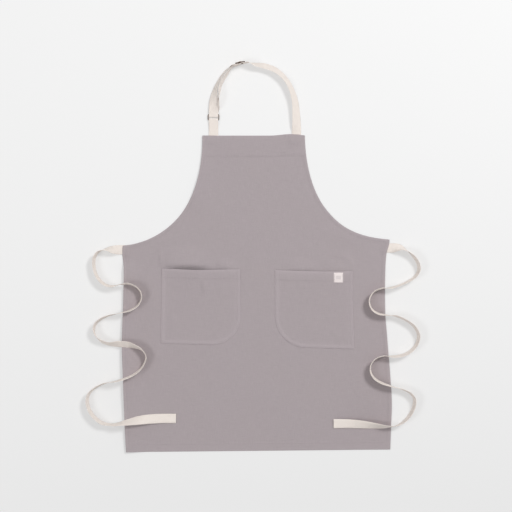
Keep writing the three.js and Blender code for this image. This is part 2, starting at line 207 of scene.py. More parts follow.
# How the cloth lies, by height: how far to the right its left edge, its middle and its right edge
# are, and how far its right side is turned up, all in mm.
LIE = (
    (325, -2.6, -5, -5, 0), (153, 2, -1, -3, 0), (85, 6, 1, 1, 0), (30, 3, 2, 2, 0), (4, 3, 4, -6, -2),
    (-36, 7, 7, -10.5, -7), (-144, 5, 7.5, -10.3, -10), (-198, 3, 8, -6, -10.5), (-252, 2, 8, -1.7, -11),
    (-306, 4, 8, 3, -9), (-387, 7, 8, 8.5, -4), (-468, 10, 8, 6.4, 2), (-524, 13, 9, 4.5, 3.5),
)
# Soft wrinkles in the panel, in mm: from, to, half width, height.
WRINKLES = (
    ((-258, 26), (-259, -28), 4, 1.5),
    ((214, 8), (252, -10), 8, 1.3),
    ((236, 6), (262, -24), 7, 1.1),
    ((-300, 24), (-205, 60), 16, 1.0),
    ((180, 70), (300, 34), 18, 1.2),
    ((-120, 150), (-70, 60), 22, 0.9),
    ((60, 110), (118, 190), 24, 0.9),
    ((-30, -300), (40, -420), 30, 1.0),
    ((-330, -300), (-290, -470), 20, 1.2),
    ((250, -290), (330, -430), 26, 1.2),
    ((-200, -330), (-120, -480), 24, 0.9),
    ((0, 20), (10, -110), 20, 0.8),
)
# Creases in the pockets' faces, in mm: across, up, half width, half height, depth.
POCKET_WRINKLES = (
    (-146, -84, 5, 24, 3.2), (-178, -60, 18, 9, 0.5), (-228, -190, 8, 26, 0.8), (112, -62, 7, 12, 0.7),
    (150, -190, 40, 16, 0.6), (212, -205, 16, 20, 0.7), (-98, -150, 9, 50, 0.5),
)


# Beside the right pocket the cloth lies further out: how far, where, and over what reach.
STRETCH, STRETCH_X, STRETCH_REACH = 7 * MM, 0.26, 0.08
# How the side edges curl up, on the left and on the right: height in mm, reach in metres; and how
# high the left armhole does, in mm.
LEFT_CURL, RIGHT_CURL, ARMHOLE_CURL = (11.0, 0.060), (1.5, 0.028), 6.0
# How far a pocket's mouth stands off the panel, and how far it sags.
LEFT_GAPE, RIGHT_GAPE = (6.5 * MM, 3.2 * MM), (2.4 * MM, 1.0 * MM)
# Soft undulations of the cloth, broad and fine: how many to a metre across and up, height in mm.
BROAD, FINE = (5.2, 4.4, 0.55), (17, 13, 0.32)
# Steps along the lines that the panel's mesh follows.
OUTLINE_STEP, LOOP_STEP = 4 * MM, 4.5 * MM
# How far a hem rises over the sewn end of a tape.
OVER_TAPE = 1.7 * MM
# Where the panel buckles above the pockets' mouths: centre and half width in metres, height in mm,
# length in metres.
MOUTH_FOLDS = (
    (-0.192, 0.078, 12.5, 0.06), (-0.082, 0.036, 5.0, 0.02),
    (0.116, 0.052, 3.6, 0.025), (0.226, 0.05, 2.2, 0.02),
)


class Cut:
    """The apron's cut and how it lies, worked out once from the sizes."""

    def __init__(self, s):
        self.s = s
        self.bib_top = PANEL_HIGH.y
        self.hem_y = PANEL_LOW.y
        self.half = PANEL_HIGH.x
        self.waist = self.bib_top - s.bib_drop
        self.mouth = self.bib_top - s.pocket_drop
        self.pocket_bottom = self.mouth - s.pocket_depth
        self.strap_x = s.bib_width / 2 - s.strap_inset
        self.tie_y = self.waist - s.tie_drop
        corner = Vector((s.bib_width / 2, self.bib_top))
        start = Vector((s.bib_width / 2, self.bib_top - s.armhole_start))
        reach = Vector((self.half - s.armhole_reach, self.waist + s.armhole_rise))
        self.bezier = (corner, start, reach, Vector((self.half, self.waist)))

    def armhole(self, t, inset=0.0):
        """A point of the armhole, from the bib's corner to the waist corner, moved in by an inset."""
        a, b, c, d = self.bezier
        r = 1 - t
        at = a * r**3 + b * 3 * t * r * r + c * 3 * t * t * r + d * t**3
        along = ((b - a) * r * r + (c - b) * 2 * t * r + (d - c) * t * t).normalized()
        return at + Vector((along.y, -along.x)) * inset

    def armhole_run(self, inset, from_y, to_x, count):
        first = solve(lambda t: -self.armhole(t, inset).y, -from_y)
        last = solve(lambda t: self.armhole(t, inset).x, to_x)
        return [tuple(self.armhole(lerp(first, last, i / count), inset)) for i in range(count + 1)]

    def outline(self, top, armhole, side, bottom, step):
        """The panel's outline inside hems of the given widths, anticlockwise."""
        right = self.armhole_run(armhole, self.bib_top - top, self.half - side, 60)
        right.append((self.half - side, self.hem_y + bottom))
        left = [(-x, y) for x, y in right]
        return spaced(left + right[::-1], step, closed=True)

    def hem_line(self, inward):
        """The line that keeps a distance inside every hem's inner edge; outside it when negative."""
        s = self.s
        return self.outline(s.bib_hem + inward, s.armhole_hem + inward, s.side_hem + inward,
                            s.bottom_hem + inward, LOOP_STEP)

    def pocket_line(self, side, inset, step):
        """A pocket's outline moved in by an inset, anticlockwise; side is -1 left, 1 right."""
        s = self.s
        inner = s.pocket_x - s.pocket_width / 2
        outer = inner + s.pocket_width
        r = s.pocket_radius - inset
        centre_x, centre_y = inner + s.pocket_radius, self.pocket_bottom + s.pocket_radius
        arc = [(centre_x - r * math.cos(a), centre_y - r * math.sin(a))
               for a in (math.radians(7.5 * i) for i in range(13))]
        low, high = self.pocket_bottom + inset, self.mouth - inset
        line = [(inner + inset, high)] + arc + [(outer - inset, low), (outer - inset, high)]
        line = [(side * x, y) for x, y in line]
        return spaced(line if side > 0 else line[::-1], step, closed=True)

    def lay(self, x, y):
        """Where a point of the flat cut lies on the table."""
        left, middle, right, tilt = (along_rows(LIE, y / MM, column) * MM for column in range(1, 5))
        half = lerp(self.half, self.s.bib_width / 2, smooth(y, self.waist, self.waist + 0.165))
        shift = lerp(middle, left if x < 0 else right, smooth(abs(x) / half, 0.42, 1))
        stretch = STRETCH * math.exp(-((x - STRETCH_X) / STRETCH_REACH) ** 2)
        shift += stretch * smooth(y, -0.40, -0.25) * (1 - smooth(y, -0.03, 0.03))
        out = x / self.half
        corner = 8 * MM * smooth(abs(x), 0.18, 0.36) * bump(y, self.waist, 0.13) * math.copysign(1, x)
        top = self.top_wave(x) * smooth(y, self.bib_top - 0.14, self.bib_top)
        return x + shift, y + tilt * out + corner + top

    def top_wave(self, x):
        """How far the bib's top edge lies above its straight line."""
        return (0.6 + 4.0 * bump(x, 0.100, 0.055)) * MM

    def rise(self, x, y):
        """How far the cloth rises off its flat height at a point of the cut."""
        seed = self.s.seed
        broad = noise.noise(Vector((x * BROAD[0], y * BROAD[1], seed)))
        fine = noise.noise(Vector((x * FINE[0], y * FINE[1], seed + 9.5)))
        open_cloth = smooth(self.half - abs(x), 0, 0.03) * smooth(y - self.hem_y, 0, 0.02)
        height = (BROAD[2] * (broad + 0.55) + FINE[2] * (fine + 0.4)) * MM * open_cloth
        for a, b, reach, up in WRINKLES:
            (ax, ay), (bx, by) = a, b
            ax, ay, bx, by = ax * MM, ay * MM, bx * MM, by * MM
            t = ((x - ax) * (bx - ax) + (y - ay) * (by - ay)) / ((bx - ax) ** 2 + (by - ay) ** 2)
            if -0.5 < t < 1.5:
                near = min(max(t, 0), 1)
                away = math.hypot(x - lerp(ax, bx, near), y - lerp(ay, by, near))
                ends = 1 - smooth(abs(t - 0.5), 0.15, 0.75)
                height += up * MM * ends * math.exp(-(away / (reach * MM)) ** 2)
        return max(height, 0) + self.edge_lift(x, y) + self.over_tapes(x, y) + self.fold_at_mouth(x, y)

    def edge_lift(self, x, y):
        """The side edges curl up a little, more on the left."""
        most, reach = LEFT_CURL if x < 0 else RIGHT_CURL
        wave = 0.85 + 0.2 * math.sin(y * 17 + 1)
        below_tie = smooth(self.tie_y - y, 0.02, 0.07) * smooth(y - self.hem_y, -0.05, 0.02)
        side = most * wave * below_tie * smooth(abs(x), self.half - reach, self.half + 0.002)
        bib = self.s.bib_width / 2
        above = smooth(y, self.waist + 0.06, self.waist + 0.16)
        armhole = ARMHOLE_CURL * above * smooth(-x, bib - 0.04, bib + 0.04) if x < 0 else 0
        return max(side, armhole) * MM

    def over_tapes(self, x, y):
        """The hems lie over the sewn ends of the neck tape, the tab and the ties."""
        half = self.s.tape_width / 2
        strap = (1 - smooth(abs(abs(x) - self.strap_x), half, half + 0.006)) * smooth(
            y, self.bib_top - 0.030, self.bib_top - 0.018)
        tie = (1 - smooth(abs(y - self.tie_y), half, half + 0.006)) * smooth(
            abs(x), self.half - 0.024, self.half - 0.014)
        return OVER_TAPE * max(strap, tie)

    def fold_at_mouth(self, x, y):
        """Above the pockets' mouths the panel buckles up, then dips into the pocket."""
        above = y - self.mouth
        height = 0
        for centre, reach, up, length in MOUTH_FOLDS:
            if abs(x - centre) < reach:
                across = math.cos((x - centre) / reach * math.pi / 2) ** 1.4
                dip = smooth(above, -0.004, (0.012 if up > 5 else 0.005))
                height += up * MM * across * dip * (1 - smooth(above, 0.012, 0.012 + length))
        return height

    def gape(self, side, x, y):
        """How far a pocket stands off the panel near its mouth, and how far its mouth sags."""
        s = self.s
        across = (abs(x) - s.pocket_x) / s.pocket_width + 0.5
        down = min(max((self.mouth - y) / s.pocket_depth, 0), 1)
        along = math.sin(math.pi * min(max(across, 0), 1))
        if side < 0:
            wide = along * (0.45 + 0.75 * smooth(across, 0.1, 0.6))
            off, sag = LEFT_GAPE
            return off * wide * (1 - down) ** 3, sag * wide * (1 - down) ** 8
        off, sag = RIGHT_GAPE
        return off * along * (1 - down) ** 2, sag * along * (1 - down) ** 8

    def pocket_top(self, side, x, y):
        """A pocket's face: its folded edges are thicker, and the stitches pull them down."""
        s = self.s
        edge = self.pocket_edge(x, y)
        folded = smooth(edge, 0, 2 * MM) * (1 - smooth(edge, 6 * MM, 9.5 * MM))
        mouth_hem = 1 - smooth(self.mouth - y, s.pocket_hem - 0.5 * MM, s.pocket_hem + 0.5 * MM)
        pulled = math.exp(-((edge - s.pocket_stitch) / (1.1 * MM)) ** 2)
        soft = 0.5 * MM * noise.noise(Vector((x * 9, y * 8, s.seed + 3)))
        extra = 1.2 * folded + 0.35 * mouth_hem - 0.3 * pulled + self.pocket_wrinkles(x, y)
        lift = self.gape(side, x, y)[0] * smooth(edge, 0, 12 * MM)
        over = smooth(edge, 0, 0.03) * (soft + 0.5 * MM)
        return s.cloth_top + self.sewn_rise(x, y) + 0.15 * MM + s.cloth + extra * MM + lift + over

    def pocket_wrinkles(self, x, y):
        """Small creases in the pockets' faces, in mm."""
        height = 0
        for centre_x, centre_y, reach_x, reach_y, up in POCKET_WRINKLES:
            across, along = (x / MM - centre_x) / reach_x, (y / MM - centre_y) / reach_y
            height += up * math.exp(-across ** 2 - along ** 2)
        return height

    def sewn_rise(self, x, y):
        """The panel's rise under a pocket, without the fold that dips into its mouth."""
        return self.rise(x, y) - self.fold_at_mouth(x, y)

    def pocket_edge(self, x, y):
        """Distance from a pocket's sewn edge."""
        s = self.s
        inward = abs(x) - (s.pocket_x - s.pocket_width / 2)
        up = y - self.pocket_bottom
        if inward < s.pocket_radius and up < s.pocket_radius:
            inner = s.pocket_radius - math.hypot(s.pocket_radius - inward, s.pocket_radius - up)
        else:
            inner = min(inward, up)
        return max(0, min(inner, s.pocket_width - inward, up))

    def pocket_place(self, side, x, y):
        """Where a point of a pocket's cut lies, with its mouth sagging."""
        px, py = self.lay(x, y)
        return px, py - self.gape(side, x, y)[1]


# ---- meshes ----

def add_object(name, data):
    """An object that shows the data, in the scene."""
    made = bpy.data.objects.new(name, data)
    bpy.context.scene.collection.objects.link(made)
    return made


def dress(piece, node, body="apron"):
    """Hides the solid that a piece stands for and puts the piece on the body that it rides on."""
    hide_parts(node)
    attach(piece, body)


def set_uv(piece, name, places):
    """Gives a piece a UV map, from a place for each of its vertices."""
    layer = piece.data.uv_layers.new(name=name)
    for loop in piece.data.loops:
        layer.data[loop.index].uv = places[loop.vertex_index]


def new_piece(name, vertices, faces, material, crease=50):
    mesh = bpy.data.meshes.new(name)
    mesh.from_pydata(vertices, [], faces)
    mesh.validate()
    mesh.shade_smooth()
    mesh.set_sharp_from_angle(angle=math.radians(crease))
    mesh.materials.append(material)
    return add_object(name, mesh)


def inside(points, loop):
    """Which of the points are inside a closed loop."""
    result = np.zeros(len(points), bool)
    loop = np.array(loop)
    for (ax, ay), (bx, by) in zip(loop, np.roll(loop, -1, axis=0)):
        crosses = (ay > points[:, 1]) != (by > points[:, 1])
        if ay != by:
            result ^= crosses & (points[:, 0] < (bx - ax) * (points[:, 1] - ay) / (by - ay) + ax)
    return result


def distance_to(points, others):
    """The distance from each point to the nearest of the others."""
    others = np.array(others)
    return np.array([np.sqrt(((others - p) ** 2).sum(1).min()) for p in points])


# Triangles inside the outline are asked for, and points this near each other count as one.
TRIANGLES_INSIDE, SAME_POINT = 1, 1e-7


def cloth_mesh(name, loops, pitch, top, thickness, place, material):
    """A sheet of cloth inside loops[0], whose mesh follows every loop. top gives the height of its
    face, thickness how thick it is, and place where a point of the flat cut lies."""
    outline = loops[0]
    low, high = np.min(outline, 0), np.max(outline, 0)
    xs = np.arange(low[0] + pitch / 2, high[0], pitch)
    ys = np.arange(low[1] + pitch / 2, high[1], pitch)
    grid = np.array([(x + (pitch / 2 if row % 2 else 0), y) for row, y in enumerate(ys) for x in xs])
    grid = grid[inside(grid, outline)]
    lines = np.concatenate([np.array(loop) for loop in loops])
    grid = grid[distance_to(grid, lines) > 0.6 * pitch]
    points, edges, start = [], [], 0
    for loop in loops:
        points += [Vector(p) for p in loop]
        edges += [(start + i, start + (i + 1) % len(loop)) for i in range(len(loop))]
        start += len(loop)
    points += [Vector(p) for p in grid]
    border = [list(range(len(outline)))]
    flat, _, faces, *_ = delaunay_2d_cdt(points, edges[len(outline):], border, TRIANGLES_INSIDE, SAME_POINT)
    count = len(flat)
    uses = dict.fromkeys(pair for face in faces for pair in zip(face, face[1:] + face[:1]))
    rim = [(a, b) for a, b in uses if (b, a) not in uses]
    outward = {}
    for a, b in rim:
        along = (flat[b] - flat[a]).normalized()
        for end in (a, b):
            outward[end] = outward.get(end, Vector((0, 0))) + Vector((along.y, -along.x))
    vertices, thick = [], []
    for x, y in flat:
        z, depth = top(x, y), thickness(x, y)
        vertices.append((*place(x, y), z))
        thick.append(depth)
    vertices += [(x, y, z - depth) for (x, y, z), depth in zip(vertices, thick)]
    middle = {}
    for index, way in outward.items():
        x, y = flat[index] + way.normalized() * thick[index] * 0.35
        middle[index] = len(vertices)
        vertices.append((*place(x, y), vertices[index][2] - thick[index] / 2))
    solid = [tuple(face) for face in faces]
    solid += [tuple(count + i for i in reversed(face)) for face in faces]
    for a, b in rim:
        solid.append((a + count, b + count, middle[b], middle[a]))
        solid.append((middle[a], middle[b], b, a))
    piece = new_piece(name, vertices, solid, material, crease=60)
    # How near each point is to the outline: the linen's painted edge highlight follows this.
    edge = np.exp(-distance_to(np.array(flat), spaced(outline, 2 * MM, closed=True)) / (6 * MM))
    values = np.ones(len(vertices), np.float32)
    values[:count] = values[count:2 * count] = edge
    piece.data.attributes.new("near_edge", "FLOAT", "POINT").data.foreach_set("value", values)
    return piece


def centripetal(centres, i, t):
    """A point on the smooth curve through the centres, t of the way from centre i to the next."""
    b, c = centres[i], centres[i + 1]
    a = centres[i - 1] if i > 0 else b * 2 - c
    d = centres[i + 2] if i + 2 < len(centres) else c * 2 - b
    first, middle, last = (max(math.sqrt((q - p).length), 1e-4) for p, q in ((a, b), (b, c), (c, d)))
    into = ((b - a) / first - (c - a) / (first + middle) + (c - b) / middle) * middle
    out = ((c - b) / middle - (d - b) / (middle + last) + (d - c) / last) * middle
    return b + into * t + (c * 3 - b * 3 - into * 2 - out) * t**2 + (b * 2 - c * 2 + into + out) * t**3


def refine(stations, step):
    """More (centre, across) stations along a smooth curve through the given ones."""
    centres = [centre for centre, _ in stations]
    fine = []
    for i, ((start, across), (end, next_across)) in enumerate(zip(stations, stations[1:])):
        parts = max(1, round((end - start).length / step))
        fine += [(centripetal(centres, i, j / parts), across.lerp(next_across, j / parts))
                 for j in range(parts)]
    return fine + [stations[-1]]


def run_length(stations):
    return sum((b[0] - a[0]).length for a, b in zip(stations, stations[1:]))


# Columns of faces across a tape, and how far its rounded selvedge reaches in.
TAPE_COLUMNS, SELVEDGE = 8, 0.25 * MM


def tape_mesh(name, stations, width, thickness, material, cupped=0.0, beside=(None, None), run=0.0):
    """A woven tape along its stations, with rounded selvedges and a UV map in metres. Where the tape
    goes on in another piece, beside gives the centres next to its ends and run how much came before."""
    half, t = width / 2, thickness / 2
    face = [(-half + SELVEDGE, t * 0.8)]
    face += [(lerp(-half, half, k / TAPE_COLUMNS), t) for k in range(1, TAPE_COLUMNS)]
    face += [(half - SELVEDGE, t * 0.8)]
    section = face + [(half, 0)] + [(v, -w) for v, w in reversed(face)] + [(-half, 0)]
    around = len(section)
    vertices, places = [], []
    for i, (centre, across) in enumerate(stations):
        before = stations[i - 1][0] if i else beside[0] or centre
        after = stations[i + 1][0] if i + 1 < len(stations) else beside[1] or centre
        along = (after - before).normalized()
        side = (across - along * across.dot(along)).normalized()
        face_up = along.cross(side)
        if i:
            run += (centre - stations[i - 1][0]).length
        for v, w in section:
            bow = cupped * ((v / half) ** 2 - 0.4)
            vertices.append(centre + side * v + face_up * (w + bow))
            places.append((run, v))
    faces = []
    for i in range(len(stations) - 1):
        for k in range(around):
            a, b = i * around + k, i * around + (k + 1) % around
            faces.append((a, a + around, b + around, b))
    last = (len(stations) - 1) * around
    faces.append(tuple(range(around)))
    faces.append(tuple(last + k for k in reversed(range(around))))
    piece = new_piece(name, vertices, faces, material, crease=65)
    set_uv(piece, "tape", places)
    return piece


WIRE_SIDES = 12


def wire_mesh(name, paths, radius, material):
    """Round wire along closed loops and straight bars, each given as (points, closed)."""
    sides = WIRE_SIDES
    vertices, faces = [], []
    for points, closed in paths:
        start, count = len(vertices), len(points)
        normal = (points[1] - points[0]).cross(points[count // 2] - points[0]).normalized()
        if normal.length < 0.5:
            normal = (points[-1] - points[0]).cross(Vector((1, 1, 1))).normalized()
        for i, point in enumerate(points):
            before = points[i - 1] if closed or i else point
            after = points[(i + 1) % count] if closed or i < count - 1 else point
            along = (after - before).normalized()
            side = along.cross(normal)
            for k in range(sides):
                a = 2 * math.pi * k / sides
                vertices.append(point + (side * math.cos(a) + normal * math.sin(a)) * radius)
        for i in range(count if closed else count - 1):
            for k in range(sides):
                a, b = start + i * sides + k, start + i * sides + (k + 1) % sides
                c, d = (start + ((i + 1) % count) * sides + j for j in ((k + 1) % sides, k))
                faces.append((a, b, c, d))
        if not closed:
            faces.append(tuple(start + k for k in reversed(range(sides))))
            faces.append(tuple(start + (count - 1) * sides + k for k in range(sides)))
    return new_piece(name, vertices, faces, material, crease=80)


# ---- materials ----

class Value:
    """A socket of a material that takes part in plain arithmetic."""

    def __init__(self, paint, socket):
        self.paint = paint
        self.socket = socket

    def __add__(self, other):
        return self.paint.maths("ADD", self, other)

    def __sub__(self, other):
        return self.paint.maths("SUBTRACT", self, other)

    def __rsub__(self, other):
        return self.paint.maths("SUBTRACT", other, self)

    def __mul__(self, other):
        return self.paint.maths("MULTIPLY", self, other)

    __radd__ = __add__
    __rmul__ = __mul__


class Paint:
    """A material in the making. shader holds the constants of its shader's sockets."""

    def __init__(self, name, **shader):
        self.material = bpy.data.materials.new(name)
        self.material.use_nodes = True
        self.tree = self.material.node_tree
        self.tree.nodes.clear()
        output = self.node("ShaderNodeOutputMaterial")
        constants = {key.replace("_", " "): value for key, value in shader.items()}
        self.shader = self.node("ShaderNodeBsdfPrincipled", {}, constants)
        self.tree.links.new(self.shader.outputs[0], output.inputs[0])

    def node(self, kind, settings=None, inputs=None):
        """Adds a node: its settings first, then the values or links of its sockets."""
        node = self.tree.nodes.new(kind)
        for key, value in (settings or {}).items():
            if key == "stops":
                for (place, tone), stop in zip(value, node.color_ramp.elements):
                    stop.position, stop.color = place, (tone, tone, tone, 1)
            else:
                setattr(node, key, value)
        for key, value in (inputs or {}).items():
            socket = node.inputs[key]
            if isinstance(value, Value):
                self.tree.links.new(value.socket, socket)
            elif socket.type == "RGBA":
                socket.default_value = (*value, 1)
            else:
                socket.default_value = value
        return node

    def out(self, node, socket=0):
        return Value(self, node.outputs[socket])

    def maths(self, operation, *values):
        return self.out(self.node("ShaderNodeMath", {"operation": operation}, dict(enumerate(values))))

    def mix(self, factor, a, b):
        """A colour part of the way from a to b."""
        node = self.node("ShaderNodeMix", {"data_type": "RGBA"}, {0: factor, 6: a, 7: b})
        return self.out(node, 2)

    def stretched(self, vector, scale):
        return self.out(self.node("ShaderNodeMapping", {}, {"Vector": vector, "Scale": scale}))

    def noise(self, vector, scale, detail=2.0):
        node = self.node("ShaderNodeTexNoise", {}, {"Vector": vector, "Scale": scale, "Detail": detail})
        return self.out(node)

    def feed(self, socket, value):
        self.tree.links.new(value.socket, self.shader.inputs[socket])

    def bumps(self, height, distance, strength=1.0):
        sockets = {"Height": height, "Distance": distance, "Strength": strength}
        self.feed("Normal", self.out(self.node("ShaderNodeBump", {}, sockets)))

    def object_place(self):
        return self.out(self.node("ShaderNodeTexCoord"), 3)

    def uv_place(self, name):
        return self.out(self.node("ShaderNodeUVMap", {"uv_map": name}))

    def split(self, vector):
        node = self.node("ShaderNodeSeparateXYZ", {}, {0: vector})
        return [self.out(node, i) for i in range(3)]


def shade(tint, amount):
    return tuple(min(1.0, part * amount) for part in tint)


def linen_finish(name, sizes, colours, painted_edge_highlight):
    """Washed linen: a plain weave of uneven yarns, softly mottled, with a painted highlight along its folded
    edges.
    """
    paint = Paint(name, Roughness=0.92, Specular_IOR_Level=0.25, Sheen_Weight=0.12, Sheen_Roughness=0.6)
    place = paint.object_place()
    x, y, _ = paint.split(place)
    turn = 2 * math.pi / sizes.weave
    along = paint.noise(paint.stretched(place, (45, 1400, 45)), 1.0, 3.0)
    across = paint.noise(paint.stretched(place, (1400, 45, 45)), 1.0, 3.0)
    weave = paint.maths("SINE", x * turn + across * 3.0) * paint.maths("SINE", y * turn + along * 3.0)
    slubs = (along + across) * 0.5
    mottle = paint.noise(place, 7.0, 3.0)
    edge = paint.out(paint.node("ShaderNodeAttribute", {"attribute_name": "near_edge"}), 2)
    linen = tuple(colours.linen)
    tone = paint.mix(slubs * 1.7 - 0.35, shade(linen, 0.86), shade(linen, 1.14))
    tone = paint.mix(mottle * 0.3, tone, (linen[0], linen[1] * 0.99, linen[2] * 0.93))
    # Painted highlight: the cloth is paler near its edges, as though its folded edges caught the light.
    tone = paint.mix(edge * painted_edge_highlight, tone, shade(linen, 1.22))
    paint.feed("Base Color", paint.mix((1 - weave) * 0.07, tone, shade(linen, 0.7)))
    paint.feed("Roughness", 0.86 + slubs * 0.1)
    crumple = paint.noise(place, 60.0, 3.0)
    paint.bumps(weave * 0.16 + slubs * 0.5 + crumple * 1.1, 0.5 * MM)
    return paint.material


def tape_finish(name, colours):
    """Cotton herringbone tape: slanting ribs that turn at each column, on the tape's own UV map."""
    paint = Paint(name, Roughness=0.9, Specular_IOR_Level=0.25, Sheen_Weight=0.1)
    place = paint.uv_place("tape")
    along, across, _ = paint.split(place)
    column, rib = 4.23 * MM, 1.3 * MM
    zigzag = paint.maths("PINGPONG", across + 0.1, column)
    ribs = paint.maths("SINE", (along + zigzag) * (2 * math.pi / rib))
    yarns = paint.noise(paint.stretched(place, (900, 2600, 1)), 1.0, 2.0)
    wear = paint.noise(paint.object_place(), 22.0, 3.0)
    cotton = tuple(colours.tape)
    tone = paint.mix(yarns, shade(cotton, 0.96), shade(cotton, 1.04))
    tone = paint.mix(wear * 0.2, tone, (cotton[0] * 0.99, cotton[1] * 0.965, cotton[2] * 0.93))
    paint.feed("Base Color", paint.mix((1 - ribs) * 0.04, tone, shade(cotton, 0.75)))
    paint.feed("Roughness", 0.84 + yarns * 0.12)
    paint.bumps(ribs * 0.5 + yarns * 0.5, 0.25 * MM)
    return paint.material


def label_finish(name, colours):
    """A woven label with a plain bar in its middle."""
    paint = Paint(name, Roughness=0.85, Specular_IOR_Level=0.3)
    place = paint.uv_place("label")
    u, v, _ = paint.split(place)
    inside_bar = 1.0
    for part, reach in ((u, 0.26), (v, 0.19)):
        away = paint.maths("ABSOLUTE", part - 0.5)
        inside_bar = paint.maths("LESS_THAN", away, reach) * inside_bar
    ribs = paint.maths("SINE", v * (2 * math.pi * 34))
    fuzz = paint.noise(paint.stretched(place, (60, 60, 1)), 1.0, 3.0)
    satin = tuple(colours.label)
    tone = paint.mix(fuzz, shade(satin, 0.94), shade(satin, 1.05))
    tone = paint.mix(inside_bar * (0.45 + fuzz * 0.5), tone, tuple(colours.label_mark))
    paint.feed("Base Color", paint.mix((1 - ribs) * 0.05, tone, shade(satin, 0.7)))
    paint.feed("Roughness", 0.7 + fuzz * 0.2)
    paint.bumps(ribs * 0.5 + fuzz * 0.4, 0.12 * MM)
    return paint.material


def thread_finish(name, colours):
    """Twisted polyester thread."""
    paint = Paint(name, Roughness=0.7)
    place = paint.object_place()
    x, y, z = paint.split(place)
    twist = paint.maths("SINE", (x + y + z) * (2 * math.pi / (0.45 * MM)))
    fuzz = paint.noise(place, 900.0, 2.0)
    thread = tuple(colours.thread)
    tone = paint.mix(fuzz, shade(thread, 0.85), shade(thread, 1.15))
    paint.feed("Base Color", paint.mix((1 - twist) * 0.12, tone, shade(thread, 0.6)))
    paint.feed("Roughness", 0.62 + fuzz * 0.2)
    paint.bumps(twist, 0.08 * MM, 0.6)
    return paint.material


def brass_finish(name, colours):
    """Antique brass: dark in the hollows, rubbed where the tape runs, with fine scratches."""
    paint = Paint(name, Roughness=0.42, Metallic=0.9)
    place = paint.object_place()
    patches = paint.noise(place, 260.0, 4.0)
    scratches = paint.noise(paint.stretched(place, (400, 3200, 3200)), 1.0, 2.0)
    ramp = paint.node("ShaderNodeValToRGB", {"stops": ((0.38, 0.0), (0.64, 1.0))}, {"Fac": patches})
    rubbed = paint.out(paint.node("ShaderNodeRGBToBW", {}, {0: paint.out(ramp)}))
    paint.feed("Base Color", paint.mix(rubbed, tuple(colours.brass), tuple(colours.worn_brass)))
    paint.feed("Roughness", 0.52 - rubbed * 0.16 + scratches * 0.08)
    paint.feed("Metallic", 0.78 + rubbed * 0.18)
    paint.bumps(scratches * 0.4 + patches * 0.6, 0.06 * MM)
    return paint.material


def table_finish(name, colours):
    """A pale even surface with painted light: it glows a little, more towards its far side, though it is no
    lamp.
    """
    paint = Paint(name, Roughness=0.8, Specular_IOR_Level=0.1, Emission_Strength=1)
    place = paint.object_place()
    table = tuple(colours.table)
    grain = paint.noise(place, 3.0, 2.0)
    paint.feed("Base Color", paint.mix(grain, shade(table, 0.997), shade(table, 1.003)))
    _, y, _ = paint.split(place)
    far = y * 0.5 + 0.5
    # Painted light: the table's glow, brighter towards its far side.
    paint.feed("Emission Color", paint.mix(far, shade(colours.painted_glow, 0.84), shade(colours.painted_glow, 1.16)))
    return paint.material


FINISHES = {}


def finish_of(slot):
    """The material of a slot, made once. The pockets' cloth has one of its own, with a stronger painted
    highlight along its edges.
    """
    if slot not in FINISHES:
        sizes, colours = bpy.context.scene.apron_sizes, bpy.context.scene.apron_colours
        FINISHES[slot] = {
            "cloth": lambda: linen_finish("washed_linen", sizes, colours, 0.2),
            "pocket_cloth": lambda: linen_finish("washed_linen_pocket", sizes, colours, 0.7),
            "tape": lambda: tape_finish("herringbone_tape", colours),
            "label": lambda: label_finish("woven_label", colours),
            "thread": lambda: thread_finish("sewing_thread", colours),
            "brass": lambda: brass_finish("antique_brass", colours),
        }[slot]()
    return FINISHES[slot]


# ---- tapes ----

def taped(x, y, rest, lean, inward, thickness, width):
    """A tape's station: it rests on a height and leans from flat (0) to on edge (90) inwards."""
    angle = math.radians(lean)
    half = (width * abs(math.sin(angle)) + thickness * abs(math.cos(angle))) / 2
    return Vector((x, y, rest + half)), inward * math.cos(angle) + UP * math.sin(angle)


def half_turn(centre, first, second, across, reach):
    """Stations half a turn round a bar, 30 degrees apart."""
    return [(centre + (first * math.cos(a) + second * math.sin(a)) * reach, across.copy())
            for a in map(math.radians, range(0, 181, 30))]


# Space left between two layers of tape, and between a tape and the wire beside it.
TAPE_GAP, WIRE_GAP = 0.3 * MM, 0.5 * MM


